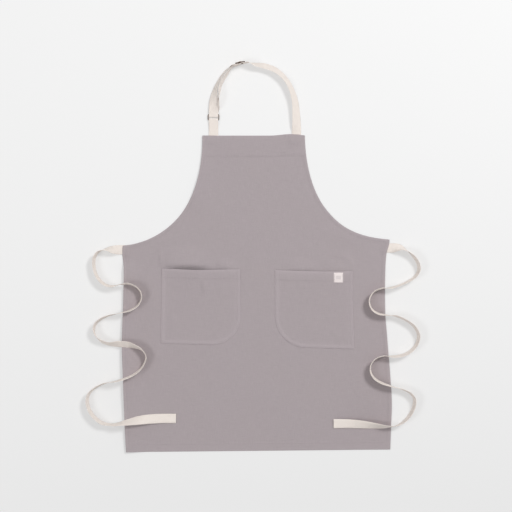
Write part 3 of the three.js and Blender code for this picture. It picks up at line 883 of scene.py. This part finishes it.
class Strap:
    """The neck strap's route, in the order it is threaded."""

    def __init__(self, cut):
        s = cut.s
        self.cut = cut
        self.wrap = s.wire / 2 + 0.45 * MM + s.tape / 2
        self.slider = Vector((s.slider_x, cut.bib_top + s.slider_from_bib, s.tape_width / 2 + 2.9 * MM))
        turn = math.degrees(s.slider_turn)
        self.along, self.outward = level(turn), level(turn - 90)
        self.bar = (s.slider_length - s.wire) / 2
        self.ring_z = self.wrap + s.tape / 2 + TAPE_GAP
        self.bar_offset = (s.ring_length - s.wire) / 2
        self.ring_y = cut.bib_top + s.ring_from_bib
        self.above = self.wrap + s.tape + TAPE_GAP
        self.half_across = s.tape_width / 2 + WIRE_GAP + s.wire / 2

    def lies(self, x, rise, rest, lean, inward):
        """A station of the tape in mm, its rise counted from the top of the bib."""
        s = self.cut.s
        y = self.cut.bib_top + rise * MM
        return taped(x * MM, y, rest * MM, lean, level(inward), s.tape, s.tape_width)

    def edge(self, along, out):
        """A station at the slider, on edge."""
        return self.slider + self.along * along + self.outward * out, UP.copy()

    def over(self):
        """From under the bib at the right, over the neck, to the slider's middle bar."""
        lies, edge = self.lies, self.edge
        return [
            lies(112, -20, 0.2, 0, 180), lies(112, 0.3, 0.3, 0, 180), lies(112, 10, 0.3, 3, 180),
            lies(112, 33, 0.3, 24, 181), lies(111, 60, 0.3, 34, 186), lies(108, 93, 0.3, 45, 196),
            lies(101, 118, 0.3, 52, 208), lies(91, 140, 0.3, 56, 222), lies(76, 160, 0.3, 54, 236),
            lies(53, 178, 0.3, 48, 250), lies(25, 188, 0.3, 46, 262), lies(-1, 192, 1, 62, 270),
            edge(-0.020, -1.6 * MM), edge(-self.bar, -self.wrap), edge(-self.bar / 2, MM),
            edge(0, self.above),
        ]

    def down(self):
        """On from the slider's middle bar, down to where the ring's end begins."""
        lies, edge = self.lies, self.edge
        return [
            edge(0, self.above), edge(self.bar / 2, MM), edge(self.bar, -self.wrap), edge(0.022, -2.5 * MM),
            lies(-76.5, 177, 1.5, 76, 310), lies(-92, 157, 0.3, 72, 322), lies(-101, 141, 0.3, 70, 335),
            lies(-107, 124, 1, 60, 345),
        ]

    def ring_end(self):
        """Down to the ring, round its upper bar and back up."""
        lies = self.lies
        upper = Vector((-self.cut.strap_x, self.ring_y + self.bar_offset, self.ring_z))
        lead, slack = Vector((0, 1.5 * MM, 0)), Vector((0, -5.5 * MM, 0))
        return [
            lies(-107, 124, 1, 60, 345), lies(-111, 99, 3, 33, 355), lies(-112, 78, 4.3, 10, 360),
            lies(-112, 67, 4.5, 0, 360), (upper + lead + UP * self.wrap, level(0)),
            *half_turn(upper + slack, UP, Vector((0, -1, 0)), level(0), self.wrap),
            (upper + lead - UP * self.wrap, level(0)), lies(-110.5, 68, 0.4, 2, 360),
            lies(-106.5, 79, 0.3, 22, 360), lies(-101, 92, 0.3, 60, 356), lies(-97, 106, 0.3, 90, 352),
            lies(-95.6, 122, 0.3, 102, 345),
        ]

    def back(self):
        """From there back up to the slider, round its middle bar, to the sewn end."""
        lies, edge, s = self.lies, self.edge, self.cut.s
        return [
            lies(-95.6, 122, 0.3, 102, 345), lies(-92.6, 136, 0.3, 104, 335), lies(-86, 149.8, 0.3, 104, 322),
            lies(-73, 169.3, 1.5, 100, 308), edge(0.023, -5.6 * MM),
            edge(self.bar, -self.wrap - 2 * (s.tape + TAPE_GAP)), edge(self.bar / 2, -3.1 * MM),
            *half_turn(self.slider, -self.outward, -self.along, UP, self.wrap),
            edge(self.bar / 2, -0.9 * MM), edge(self.bar, -self.wrap - s.tape - TAPE_GAP),
            edge(0.021, -self.wrap - s.tape - 2 * TAPE_GAP),
        ]


# The ties' routes in loose waves: millimetres out from the apron's side, up from where the tie is
# sewn on, and the lean from flat (0) to on edge (90) to flat again (180).
LEFT_TIE = (
    (-12, 0, 0), (0.3, 0, 0), (10, 0, 8), (24, 0, 38), (38, 1, 64), (51, -1, 80), (64, -8, 88),
    (72, -22, 90), (73, -42, 90), (68, -64, 90), (58, -81, 90), (42, -94, 90), (22, -98, 90),
    (0, -93, 90), (-19, -91, 90), (-38, -98, 90), (-51, -111, 90), (-55, -128, 90), (-47, -147, 90),
    (-29, -161, 90), (-6, -168, 90), (25, -175, 90), (50, -184, 90), (67, -197, 90), (73, -213, 85),
    (68, -232, 75), (53, -246, 62), (28, -254, 60), (4, -253, 46), (-18, -255, 45),
    (-38, -260, 68), (-57, -270, 88),
    (-67, -288, 90), (-61, -308, 90), (-47, -326, 90), (-25, -340, 90), (7, -351, 90), (43, -359, 90),
    (69, -371, 90), (86, -387, 90), (91, -407, 90), (85, -431, 90), (69, -453, 90), (50, -466, 90),
    (27, -470, 84), (0, -466, 105), (-30, -461, 134), (-66, -457, 162), (-104, -455, 177),
    (-147, -455, 180),
)
RIGHT_TIE = (
    (-12, 0, 0), (0.3, 0, 0), (11, 0, 8), (26, 1, 38), (40, -2, 64), (54, -11, 82), (68, -24, 90),
    (79, -42, 90), (81, -60, 90), (72, -76, 90), (56, -88, 90), (33, -99, 90), (7, -107, 90),
    (-18, -109, 90), (-38, -117, 90), (-50, -132, 90), (-52, -149, 90), (-45, -165, 90),
    (-29, -176, 90), (-6, -180, 90), (19, -183, 90), (47, -195, 90), (69, -212, 90), (80, -234, 90),
    (76, -257, 90), (61, -276, 90), (40, -288, 90), (12, -292, 90), (-14, -291, 90), (-36, -299, 90),
    (-48, -315, 90), (-49, -333, 90), (-40, -349, 90), (-23, -361, 90), (5, -371, 90), (36, -380, 90),
    (58, -391, 90), (69, -406, 90), (68, -425, 90), (59, -446, 90), (43, -465, 86), (22, -478, 76),
    (-4, -481, 64), (-34, -479, 48), (-68, -476, 28), (-106, -474, 12), (-148, -474, 4),
)
# How many of a tie's first points rest at the table's height: its sewn end and its run out from the side.
SEWN_POINTS = 7
# How far a tie on edge spreads outwards at its bends, in degrees.
SPLAY = 12
# How high a tie rests on the table, and how much higher where it lies on the cloth.
TIE_REST, ON_CLOTH = 0.7 * MM, 2.3 * MM


def tie_stations(cut, side, route, drop):
    """The tie's stations: on the table outside the apron, on the cloth where it comes back over it."""
    s = cut.s
    stations = []

    def spot(out, rise):
        return side * (cut.half + out * MM), cut.tie_y + (rise + drop) * MM

    for i, (out, rise, lean) in enumerate(route):
        before, after = route[max(i - 1, 0)], route[min(i + 1, len(route) - 1)]
        inward = -Vector((side * (before[1] - after[1]), after[0] - before[0], 0)).normalized()
        x, y = spot(out, rise)
        on_cloth = 0 if i < SEWN_POINTS else 1 - smooth(out, 6, 26)
        before_to = Vector((x, y)) - Vector(spot(*before[:2]))
        to_after = Vector(spot(*after[:2])) - Vector((x, y))
        bend = before_to.cross(to_after) / max(before_to.length * to_after.length, 1e-9) * -side
        lean += SPLAY * math.tanh(bend * 5) * math.sin(math.radians(lean)) ** 6
        near_x = max(-cut.half, min(cut.half, x))
        rest = TIE_REST + on_cloth * (ON_CLOTH + cut.edge_lift(near_x, y) * 0.8)
        stations.append(taped(x, y, rest, lean, inward, s.tie_tape, s.tape_width))
    return stations


# ---- stitches ----

def stitch_tree():
    """Lays small thread stitches along a line. Named inputs set their sizes."""
    tree = bpy.data.node_groups.new("row_of_stitches", "GeometryNodeTree")
    face = tree.interface
    face.new_socket("Geometry", in_out="INPUT", socket_type="NodeSocketGeometry")
    for name, default in (("Spacing", 3.2 * MM), ("Stitch Length", 2.4 * MM), ("Thread Width", 0.55 * MM)):
        face.new_socket(name, in_out="INPUT", socket_type="NodeSocketFloat").default_value = default
    face.new_socket("Seed", in_out="INPUT", socket_type="NodeSocketInt").default_value = 7
    face.new_socket("Thread", in_out="INPUT", socket_type="NodeSocketMaterial")
    face.new_socket("Geometry", in_out="OUTPUT", socket_type="NodeSocketGeometry")

    def node(kind, links=None, **settings):
        made = tree.nodes.new(kind)
        for key, value in settings.items():
            setattr(made, key, value)
        for key, value in (links or {}).items():
            if isinstance(value, bpy.types.NodeSocket):
                tree.links.new(value, made.inputs[key])
            else:
                made.inputs[key].default_value = value
        return made

    given = node("NodeGroupInput").outputs
    curve = node("GeometryNodeMeshToCurve", {"Mesh": given["Geometry"]})
    points = node("GeometryNodeResampleCurve", {"Curve": curve.outputs[0], "Length": given["Spacing"]},
                  mode="LENGTH")
    tangent = node("GeometryNodeInputTangent")
    turned = node("FunctionNodeAlignRotationToVector", {"Vector": tangent.outputs[0]}, axis="X")
    halves = [node("ShaderNodeMath", {0: given[name], 1: share}, operation="MULTIPLY").outputs[0]
              for name, share in (("Stitch Length", 0.5), ("Thread Width", 0.5), ("Thread Width", 0.42))]
    shape = node("ShaderNodeCombineXYZ", dict(enumerate(halves)))
    vary = node("FunctionNodeRandomValue", {"Min": (0.85,) * 3, "Max": (1.1,) * 3, "Seed": given["Seed"]},
                data_type="FLOAT_VECTOR")
    scale = node("ShaderNodeVectorMath", {0: shape.outputs[0], 1: vary.outputs[0]}, operation="MULTIPLY")
    ball = node("GeometryNodeMeshUVSphere", {"Segments": 6, "Rings": 6, "Radius": 1.0})
    lying = node("GeometryNodeTransform", {"Geometry": ball.outputs[0], "Rotation": (0, math.pi / 2, 0)})
    placed = node("GeometryNodeInstanceOnPoints", {
        "Points": points.outputs[0], "Instance": lying.outputs[0], "Rotation": turned.outputs[0],
        "Scale": scale.outputs[0]})
    real = node("GeometryNodeRealizeInstances", {"Geometry": placed.outputs[0]})
    soft = node("GeometryNodeSetShadeSmooth", {"Geometry": real.outputs[0]})
    coloured = node("GeometryNodeSetMaterial", {"Geometry": soft.outputs[0], "Material": given["Thread"]})
    node("NodeGroupOutput", {0: coloured.outputs[0]})
    return tree


def sew(tree, name, points, spacing=None):
    """A row of stitches along the points, as one plain mesh."""
    s = bpy.context.scene.apron_sizes
    line = bpy.data.meshes.new(name)
    line.from_pydata(points, [(i, i + 1) for i in range(len(points) - 1)], [])
    guide = add_object(name + "_line", line)
    modifier = guide.modifiers.new("stitches", "NODES")
    modifier.node_group = tree
    values = {"Spacing": spacing or s.stitch_spacing, "Stitch Length": s.stitch_length,
              "Thread Width": s.thread, "Seed": s.seed, "Thread": finish_of("thread")}
    for item in tree.interface.items_tree:
        if item.item_type == "SOCKET" and item.in_out == "INPUT" and item.name in values:
            modifier[item.identifier] = values[item.name]
    guide.update_tag()
    graph = bpy.context.evaluated_depsgraph_get()
    mesh = bpy.data.meshes.new_from_object(guide.evaluated_get(graph), depsgraph=graph)
    guide.modifiers.remove(modifier)
    bpy.data.objects.remove(guide)
    mesh.name = name
    return add_object(name, mesh)


# ---- operators ----

class ApronOperator:
    """What every operator of the apron shares."""

    bl_options = {"REGISTER", "UNDO"}

    def execute(self, context):
        self.make(context, Cut(context.scene.apron_sizes))
        return {"FINISHED"}


# The camera looks straight down; its place and lens take in the whole apron.
CAMERA_PLACE, LENS, SENSOR = (2.7 * MM, 1.7 * MM, 3.0), 78.1, 36
NEAREST, FARTHEST = 0.05, 50
TABLE_REACH = 8.0
SKY = 0.50
# Round lamps that face the middle of the apron: name, place, width in metres, power in watts.
LAMPS = (("key", (2.39, 2.15, 3.83), 1.2, 124), ("second", (-2.6, -0.95, 3.1), 1.3, 37))


class APRON_OT_stage(ApronOperator, bpy.types.Operator):
    """Set up the camera, the pale table and the soft studio light"""

    bl_idname = "apron.stage"
    bl_label = "Stage"

    def make(self, context, cut):
        scene = context.scene
        lens = bpy.data.cameras.new("camera")
        lens.sensor_width, lens.lens = SENSOR, LENS
        lens.clip_start, lens.clip_end = NEAREST, FARTHEST
        scene.camera = add_object("camera", lens)
        scene.camera.location = CAMERA_PLACE
        corners = [(x * TABLE_REACH, y * TABLE_REACH, 0) for x, y in ((-1, -1), (1, -1), (1, 1), (-1, 1))]
        table = new_piece("table", corners, [(0, 1, 2, 3)], table_finish("pale_table", scene.apron_colours))
        world = bpy.data.worlds.new("studio")
        scene.world = world
        world.use_nodes = True
        sky = world.node_tree.nodes["Background"]
        sky.inputs["Color"].default_value = (1, 1, 1, 1)
        sky.inputs["Strength"].default_value = SKY
        for name, place, width, power in LAMPS:
            lamp = bpy.data.lights.new(name, "AREA")
            lamp.shape, lamp.size, lamp.energy = "DISK", width, power
            light = add_object(name, lamp)
            light.location = place
            light.rotation_mode = "QUATERNION"
            light.rotation_quaternion = (-Vector(place)).to_track_quat("-Z", "Y")
        scene.view_settings.view_transform = "Standard"


class APRON_OT_ties(ApronOperator, bpy.types.Operator):
    """Lay the two waist ties in loose waves"""

    bl_idname = "apron.ties"
    bl_label = "Waist Ties"

    def make(self, context, cut):
        s = cut.s
        for name, node, side, route, drop in (
            ("left_waist_tie", "left_tie", -1, LEFT_TIE, -4),
            ("right_waist_tie", "right_tie", 1, RIGHT_TIE, 1),
        ):
            stations = refine(tie_stations(cut, side, route, drop), 4 * MM)
            piece = tape_mesh(name, stations, s.tape_width, s.tie_tape, finish_of("tape"), cupped=0.35 * MM)
            dress(piece, node)
            run_length(stations)


# The lines that the panel's mesh follows, in mm in from its hems' inner edges: they carry the step
# down from the hem and its stitches. The pitch is the spacing of the mesh between them.
HEM_LOOPS, PANEL_PITCH = (-2.4, -1.5, -0.5, 0.5), 4.6 * MM


class APRON_OT_panel(ApronOperator, bpy.types.Operator):
    """Lay the hemmed linen panel"""

    bl_idname = "apron.panel"
    bl_label = "Panel"

    def make(self, context, cut):
        s = cut.s
        outline = cut.outline(0, 0, 0, 0, OUTLINE_STEP)
        loops = [outline, cut.outline(*[1.5 * MM] * 4, LOOP_STEP)]
        loops += [cut.hem_line(inward * MM) for inward in HEM_LOOPS]

        def profile(x, y):
            """Height and thickness of the cloth without its wrinkles."""
            depth = self.depth_in(cut, x, y)
            hem = 1 - smooth(depth, -0.45 * MM, 0.45 * MM)
            pulled = 0.3 * MM * math.exp(-((depth + s.stitch_inset) / (0.8 * MM)) ** 2)
            thickness = lerp(s.cloth, s.hem_top - 0.1 * MM, hem)
            return lerp(s.cloth_top, s.hem_top, hem) - pulled, thickness - pulled

        piece = cloth_mesh("linen_panel", loops, PANEL_PITCH,
                           lambda x, y: profile(x, y)[0] + cut.rise(x, y), lambda x, y: profile(x, y)[1],
                           cut.lay, finish_of("cloth"))
        dress(piece, "apron_panel")

    def depth_in(self, cut, x, y):
        """How far inside the hems' inner edges a point is; negative on a hem."""
        s = cut.s
        across = abs(x)
        parts = [cut.bib_top - s.bib_hem - y, y - cut.hem_y - s.bottom_hem, cut.half - s.side_hem - across]
        if y > cut.waist - 0.03:
            if not hasattr(self, "armhole_line"):
                run = cut.armhole_run(s.armhole_hem, cut.bib_top + 0.01, cut.half, 300)
                self.armhole_line = np.array(run)
            offsets = self.armhole_line - (across, y)
            nearest = int((offsets ** 2).sum(1).argmin())
            away = float(np.sqrt((offsets[nearest] ** 2).sum()))
            before = self.armhole_line[max(nearest - 1, 0)]
            after = self.armhole_line[min(nearest + 1, len(self.armhole_line) - 1)]
            turn = (after[0] - before[0]) * (y - before[1]) - (after[1] - before[1]) * (across - before[0])
            parts.append(-math.copysign(away, turn))
        return min(parts)


# The lines that a pocket's mesh follows, in mm in from its edge: they carry its fold and stitches.
POCKET_LOOPS, POCKET_STEP, POCKET_PITCH = (0, 1, 2.2, 3, 3.9, 6, 7.7, 9.5), 3.6 * MM, 3.8 * MM


class APRON_OT_pockets(ApronOperator, bpy.types.Operator):
    """Sew on the two patch pockets"""

    bl_idname = "apron.pockets"
    bl_label = "Pockets"

    def make(self, context, cut):
        s = cut.s
        for name, node, side in (("left_pocket_cloth", "left_pocket", -1),
                                 ("right_pocket_cloth", "right_pocket", 1)):
            loops = [cut.pocket_line(side, inset * MM, POCKET_STEP) for inset in POCKET_LOOPS]
            piece = cloth_mesh(name, loops, POCKET_PITCH,
                               lambda x, y: cut.pocket_top(side, x, y), lambda x, y: s.cloth,
                               lambda x, y: cut.pocket_place(side, x, y), finish_of("pocket_cloth"))
            dress(piece, node)


# How much higher than its cut place the label is sewn on, and the cells along its side.
LABEL_UP, LABEL_CELLS = 3 * MM, 16


class APRON_OT_label(ApronOperator, bpy.types.Operator):
    """Sew the small woven label onto the right pocket"""

    bl_idname = "apron.label"
    bl_label = "Label"

    def make(self, context, cut):
        s = cut.s
        cells = LABEL_CELLS
        right = s.pocket_x + s.pocket_width / 2 - s.label_from_side
        top = cut.mouth - s.label_from_mouth
        vertices, places = [], []
        for layer in (1, 0):
            for j in range(cells + 1):
                for i in range(cells + 1):
                    u, v = i / cells, j / cells
                    x, y = right - s.label * (1 - u), top - s.label * (1 - v)
                    edge = min(u, 1 - u, v, 1 - v)
                    sewn = 0.15 * MM * math.exp(-((edge - 0.06) / 0.03) ** 2)
                    puff = 0.5 * MM * smooth(edge, 0, 0.3) - sewn
                    z = cut.pocket_top(1, x, y) + 0.1 * MM + layer * (0.5 * MM + puff)
                    lies = cut.pocket_place(1, x, y)
                    vertices.append((lies[0], lies[1] + LABEL_UP, z))
                    places.append((u, v))
        row = cells + 1
        under = row * row
        faces = []
        for j in range(cells):
            for i in range(cells):
                a = j * row + i
                faces.append((a, a + 1, a + row + 1, a + row))
                faces.append(tuple(under + k for k in (a, a + row, a + row + 1, a + 1)))
        ring = list(range(cells)) + [cells + j * row for j in range(cells)]
        ring += [under - 1 - i for i in range(cells)] + [(cells - j) * row for j in range(cells)]
        for a, b in zip(ring, ring[1:] + ring[:1]):
            faces.append((a + under, b + under, b, a))
        piece = new_piece("woven_label", vertices, faces, finish_of("label"))
        set_uv(piece, "label", places)
        dress(piece, "pocket_label")


class APRON_OT_strap(ApronOperator, bpy.types.Operator):
    """Thread the neck strap through the slider and the ring"""

    bl_idname = "apron.strap"
    bl_label = "Neck Strap"

    def make(self, context, cut):
        s = cut.s
        strap = Strap(cut)
        routes = strap.over(), strap.down(), strap.ring_end(), strap.back()
        whole = refine(routes[0] + [station for route in routes[1:] for station in route[1:]], 2.5 * MM)
        cuts = [min(range(len(whole)), key=lambda i: (whole[i][0] - route[-1][0]).length)
                for route in routes[:-1]]
        top = strap.lies(-1, 191, 1, 68, 270)[0]
        split = strap.lies(-104, 134, 1, 60, 345)[0]
        into_slider = strap.slider + strap.along * 0.03
        for name, first, last, ends in (
            ("strap_over_neck", 0, cuts[0], ("slider", top, strap.slider - strap.along * 0.02)),
            ("strap_to_ring", cuts[0], cuts[1], ("slider", split, into_slider)),
            ("strap_round_ring", cuts[1], cuts[2],
             ("ring", strap.lies(-112, 115, 0, 0, 0)[0], strap.lies(-112, 70, 0, 0, 0)[0])),
            ("strap_back_to_slider", cuts[2], len(whole) - 1, ("slider", split, into_slider)),
        ):
            stations = whole[first:last + 1]
            beside = (whole[first - 1][0] if first else None,
                      whole[last + 1][0] if last + 1 < len(whole) else None)
            piece = tape_mesh(name, stations, s.tape_width, s.tape, finish_of("tape"), beside=beside,
                              run=run_length(whole[:first + 1]))
            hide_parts("neck_strap")
            body, start, end = ends
            start.z = end.z
            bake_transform(piece)
            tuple(start)
            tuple(end)
            run_length(stations)
            "strap_ring" if body == "ring" else "strap_slider"


class APRON_OT_tab(ApronOperator, bpy.types.Operator):
    """Fold the tab that holds the ring"""

    bl_idname = "apron.tab"
    bl_label = "Neck Tab"

    def make(self, context, cut):
        s = cut.s
        strap = Strap(cut)
        lower = Vector((-cut.strap_x, strap.ring_y - strap.bar_offset, strap.ring_z))
        stations = [
            *(strap.lies(-112, rise, rest, 0, 0)
              for rise, rest in ((-18, 0.1), (0.3, 0.3), (20, 0.3), (35, 0.4))),
            *half_turn(lower + Vector((0, 2 * MM, 0)), -UP, Vector((0, 1, 0)), level(0), strap.wrap),
            *(strap.lies(-112, rise, rest, 0, 0) for rise, rest in ((33, 3.6), (18, 1.5), (0.3, 1.5))),
        ]
        stations = refine(stations, 2.5 * MM)
        piece = tape_mesh("ring_tab", stations, s.tape_width, s.tape, finish_of("tape"))
        dress(piece, "neck_tab")
        run_length(stations)


# Radius of a wire frame's corners, along the middle of the wire.
WIRE_CORNER = 2.6 * MM


class APRON_OT_brass(ApronOperator, bpy.types.Operator):
    """Bend the brass ring and slider"""

    bl_idname = "apron.brass"
    bl_label = "Ring and Slider"

    def make(self, context, cut):
        s = cut.s
        strap = Strap(cut)
        ring_centre = Vector((-cut.strap_x, strap.ring_y, strap.ring_z))
        outline = self.frame(strap, ring_centre, level(0), level(90), s.ring_length)
        ring = wire_mesh("brass_ring", [(outline, True)], s.wire / 2, finish_of("brass"))
        dress(ring, "strap_ring", "ring")
        loop = self.frame(strap, strap.slider, UP, strap.along, s.slider_length)
        reach = strap.half_across
        bar = [strap.slider + UP * lerp(-reach, reach, i / 6) for i in range(7)]
        slider = wire_mesh("brass_slider", [(loop, True), (bar, False)], s.wire / 2, finish_of("brass"))
        dress(slider, "strap_slider", "slider")

    def frame(self, strap, centre, across, along, length):
        """The middle line of a rounded wire frame."""
        half_along = (length - strap.cut.s.wire) / 2
        r = WIRE_CORNER
        points = []
        for corner, start in (((1, 1), 0), ((-1, 1), 90), ((-1, -1), 180), ((1, -1), 270)):
            u, v = corner[0] * (strap.half_across - r), corner[1] * (half_along - r)
            for step in range(7):
                a = math.radians(start + 15 * step)
                points.append((u + r * math.cos(a), v + r * math.sin(a)))
        points = spaced(points, 2.5 * MM, closed=True)
        return [centre + across * u + along * v for u, v in points]


# How far a stitch stands off its cloth, and the step of the lines that stitches follow.
STITCH_RISE, STITCH_STEP = 0.08 * MM, 3 * MM


class APRON_OT_stitches(ApronOperator, bpy.types.Operator):
    """Sew every seam, stitch by stitch"""

    bl_idname = "apron.stitches"
    bl_label = "Stitches"

    def make(self, context, cut):
        s = cut.s
        tree = stitch_tree()
        armhole = s.armhole_hem - s.stitch_inset
        side_x = cut.half - s.side_hem + s.stitch_inset
        run = cut.armhole_run(armhole, cut.bib_top - 2 * MM, side_x - 2 * MM, 110)
        bottom_y = cut.hem_y + s.bottom_hem - s.stitch_inset
        bib_y = cut.bib_top - s.bib_hem + s.stitch_inset
        bib_x = cut.armhole_run(armhole, bib_y, side_x, 1)[0][0] - 2 * MM
        reach = s.tape_width / 2 - 1.5 * MM
        rows = {
            "bib_hem_seam": [(-bib_x, bib_y), (bib_x, bib_y)],
            "bottom_hem_seam": [(-side_x, bottom_y), (side_x, bottom_y)],
        }
        for side, name in ((-1, "left"), (1, "right")):
            rows[name + "_armhole_seam"] = [(side * x, y) for x, y in run]
            rows[name + "_side_seam"] = [(side * side_x, run[-1][1] - 2 * MM), (side * side_x, bottom_y)]
            tie_x = side * (cut.half - s.armhole_hem / 2)
            rows[name + "_tie_stitch"] = [(tie_x, cut.tie_y + reach), (tie_x, cut.tie_y - reach)]
        for name, x in (("tab_stitch", -cut.strap_x), ("strap_stitch", cut.strap_x)):
            rows[name] = [(x - reach, cut.bib_top - 5 * MM), (x + reach, cut.bib_top - 5 * MM)]
        for node, line in rows.items():
            points = []
            for x, y in spaced(line, STITCH_STEP):
                px, py = cut.lay(x, y)
                points.append((px, py, s.hem_top - 0.25 * MM + cut.rise(x, y) + STITCH_RISE))
            dress(sew(tree, node + "_thread", points), node)
        for side, name in ((-1, "left"), (1, "right")):
            inset = s.pocket_stitch
            loop = cut.pocket_line(side, inset, STITCH_STEP)
            sewn = [p for p in loop if p[1] < cut.mouth - inset - 0.5 * MM]
            gap = max(range(len(sewn)), key=lambda i: math.dist(sewn[i - 1], sewn[i]))
            sewn = sewn[gap:] + sewn[:gap]
            hem_y = cut.mouth - s.pocket_hem + 1.5 * MM
            low, high = (s.pocket_x + way * (s.pocket_width / 2 - 5 * MM) for way in (-1, 1))
            hem = spaced([(side * low, hem_y), (side * high, hem_y)], STITCH_STEP)
            for node, line in ((name + "_pocket_seam", sewn), (name + "_pocket_hem_seam", hem)):
                points = [(*cut.pocket_place(side, x, y), cut.pocket_top(side, x, y) + STITCH_RISE)
                          for x, y in line]
                dress(sew(tree, node + "_thread", points), node)
        right = s.pocket_x + s.pocket_width / 2 - s.label_from_side - 1.6 * MM
        left = right - s.label + 3.2 * MM
        top = cut.mouth - s.label_from_mouth - 1.6 * MM
        low = top - s.label + 3.2 * MM
        corners = spaced([(right, top), (right, low), (left, low), (left, top)], 2 * MM)
        points = [(*cut.pocket_place(1, x, y), cut.pocket_top(1, x, y) + 0.62 * MM) for x, y in corners]
        dress(sew(tree, "label_seam_thread", points, spacing=2.8 * MM), "label_seam")
        strap = Strap(cut)
        out = -strap.wrap - 3 * (s.tape + TAPE_GAP) + 0.1 * MM
        centre = strap.edge(0.019, out)[0]
        points = [centre + UP * lerp(-0.4, 0.4, i / 8) * s.tape_width for i in range(9)]
        dress(sew(tree, "strap_end_stitch_thread", points), "strap_end_stitch", "slider")


class APRON_PT_panel(bpy.types.Panel):
    """The apron's operators and sizes"""

    bl_label = "Bib Apron"
    bl_idname = "APRON_PT_panel"
    bl_space_type = "VIEW_3D"
    bl_region_type = "UI"
    bl_category = "Apron"

    def draw(self, context):
        layout = self.layout
        for operator in OPERATORS:
            layout.operator(operator.bl_idname)
        for group in (context.scene.apron_sizes, context.scene.apron_colours):
            box = layout.box()
            for name in group.__annotations__:
                box.prop(group, name)


OPERATORS = (
    APRON_OT_stage, APRON_OT_ties, APRON_OT_panel, APRON_OT_pockets, APRON_OT_label,
    APRON_OT_strap, APRON_OT_tab, APRON_OT_brass, APRON_OT_stitches,
)
CLASSES = (ApronSizes, ApronColours, *OPERATORS, APRON_PT_panel)


def register():
    for cls in CLASSES:
        bpy.utils.register_class(cls)
    bpy.types.Scene.apron_sizes = PointerProperty(type=ApronSizes)
    bpy.types.Scene.apron_colours = PointerProperty(type=ApronColours)


def unregister():
    del bpy.types.Scene.apron_colours
    del bpy.types.Scene.apron_sizes
    for cls in reversed(CLASSES):
        bpy.utils.unregister_class(cls)


def main():
    register()
    for operator in OPERATORS:
        group, name = operator.bl_idname.split(".")
        getattr(getattr(bpy.ops, group), name)()


if __name__ == "__main__":
    main()
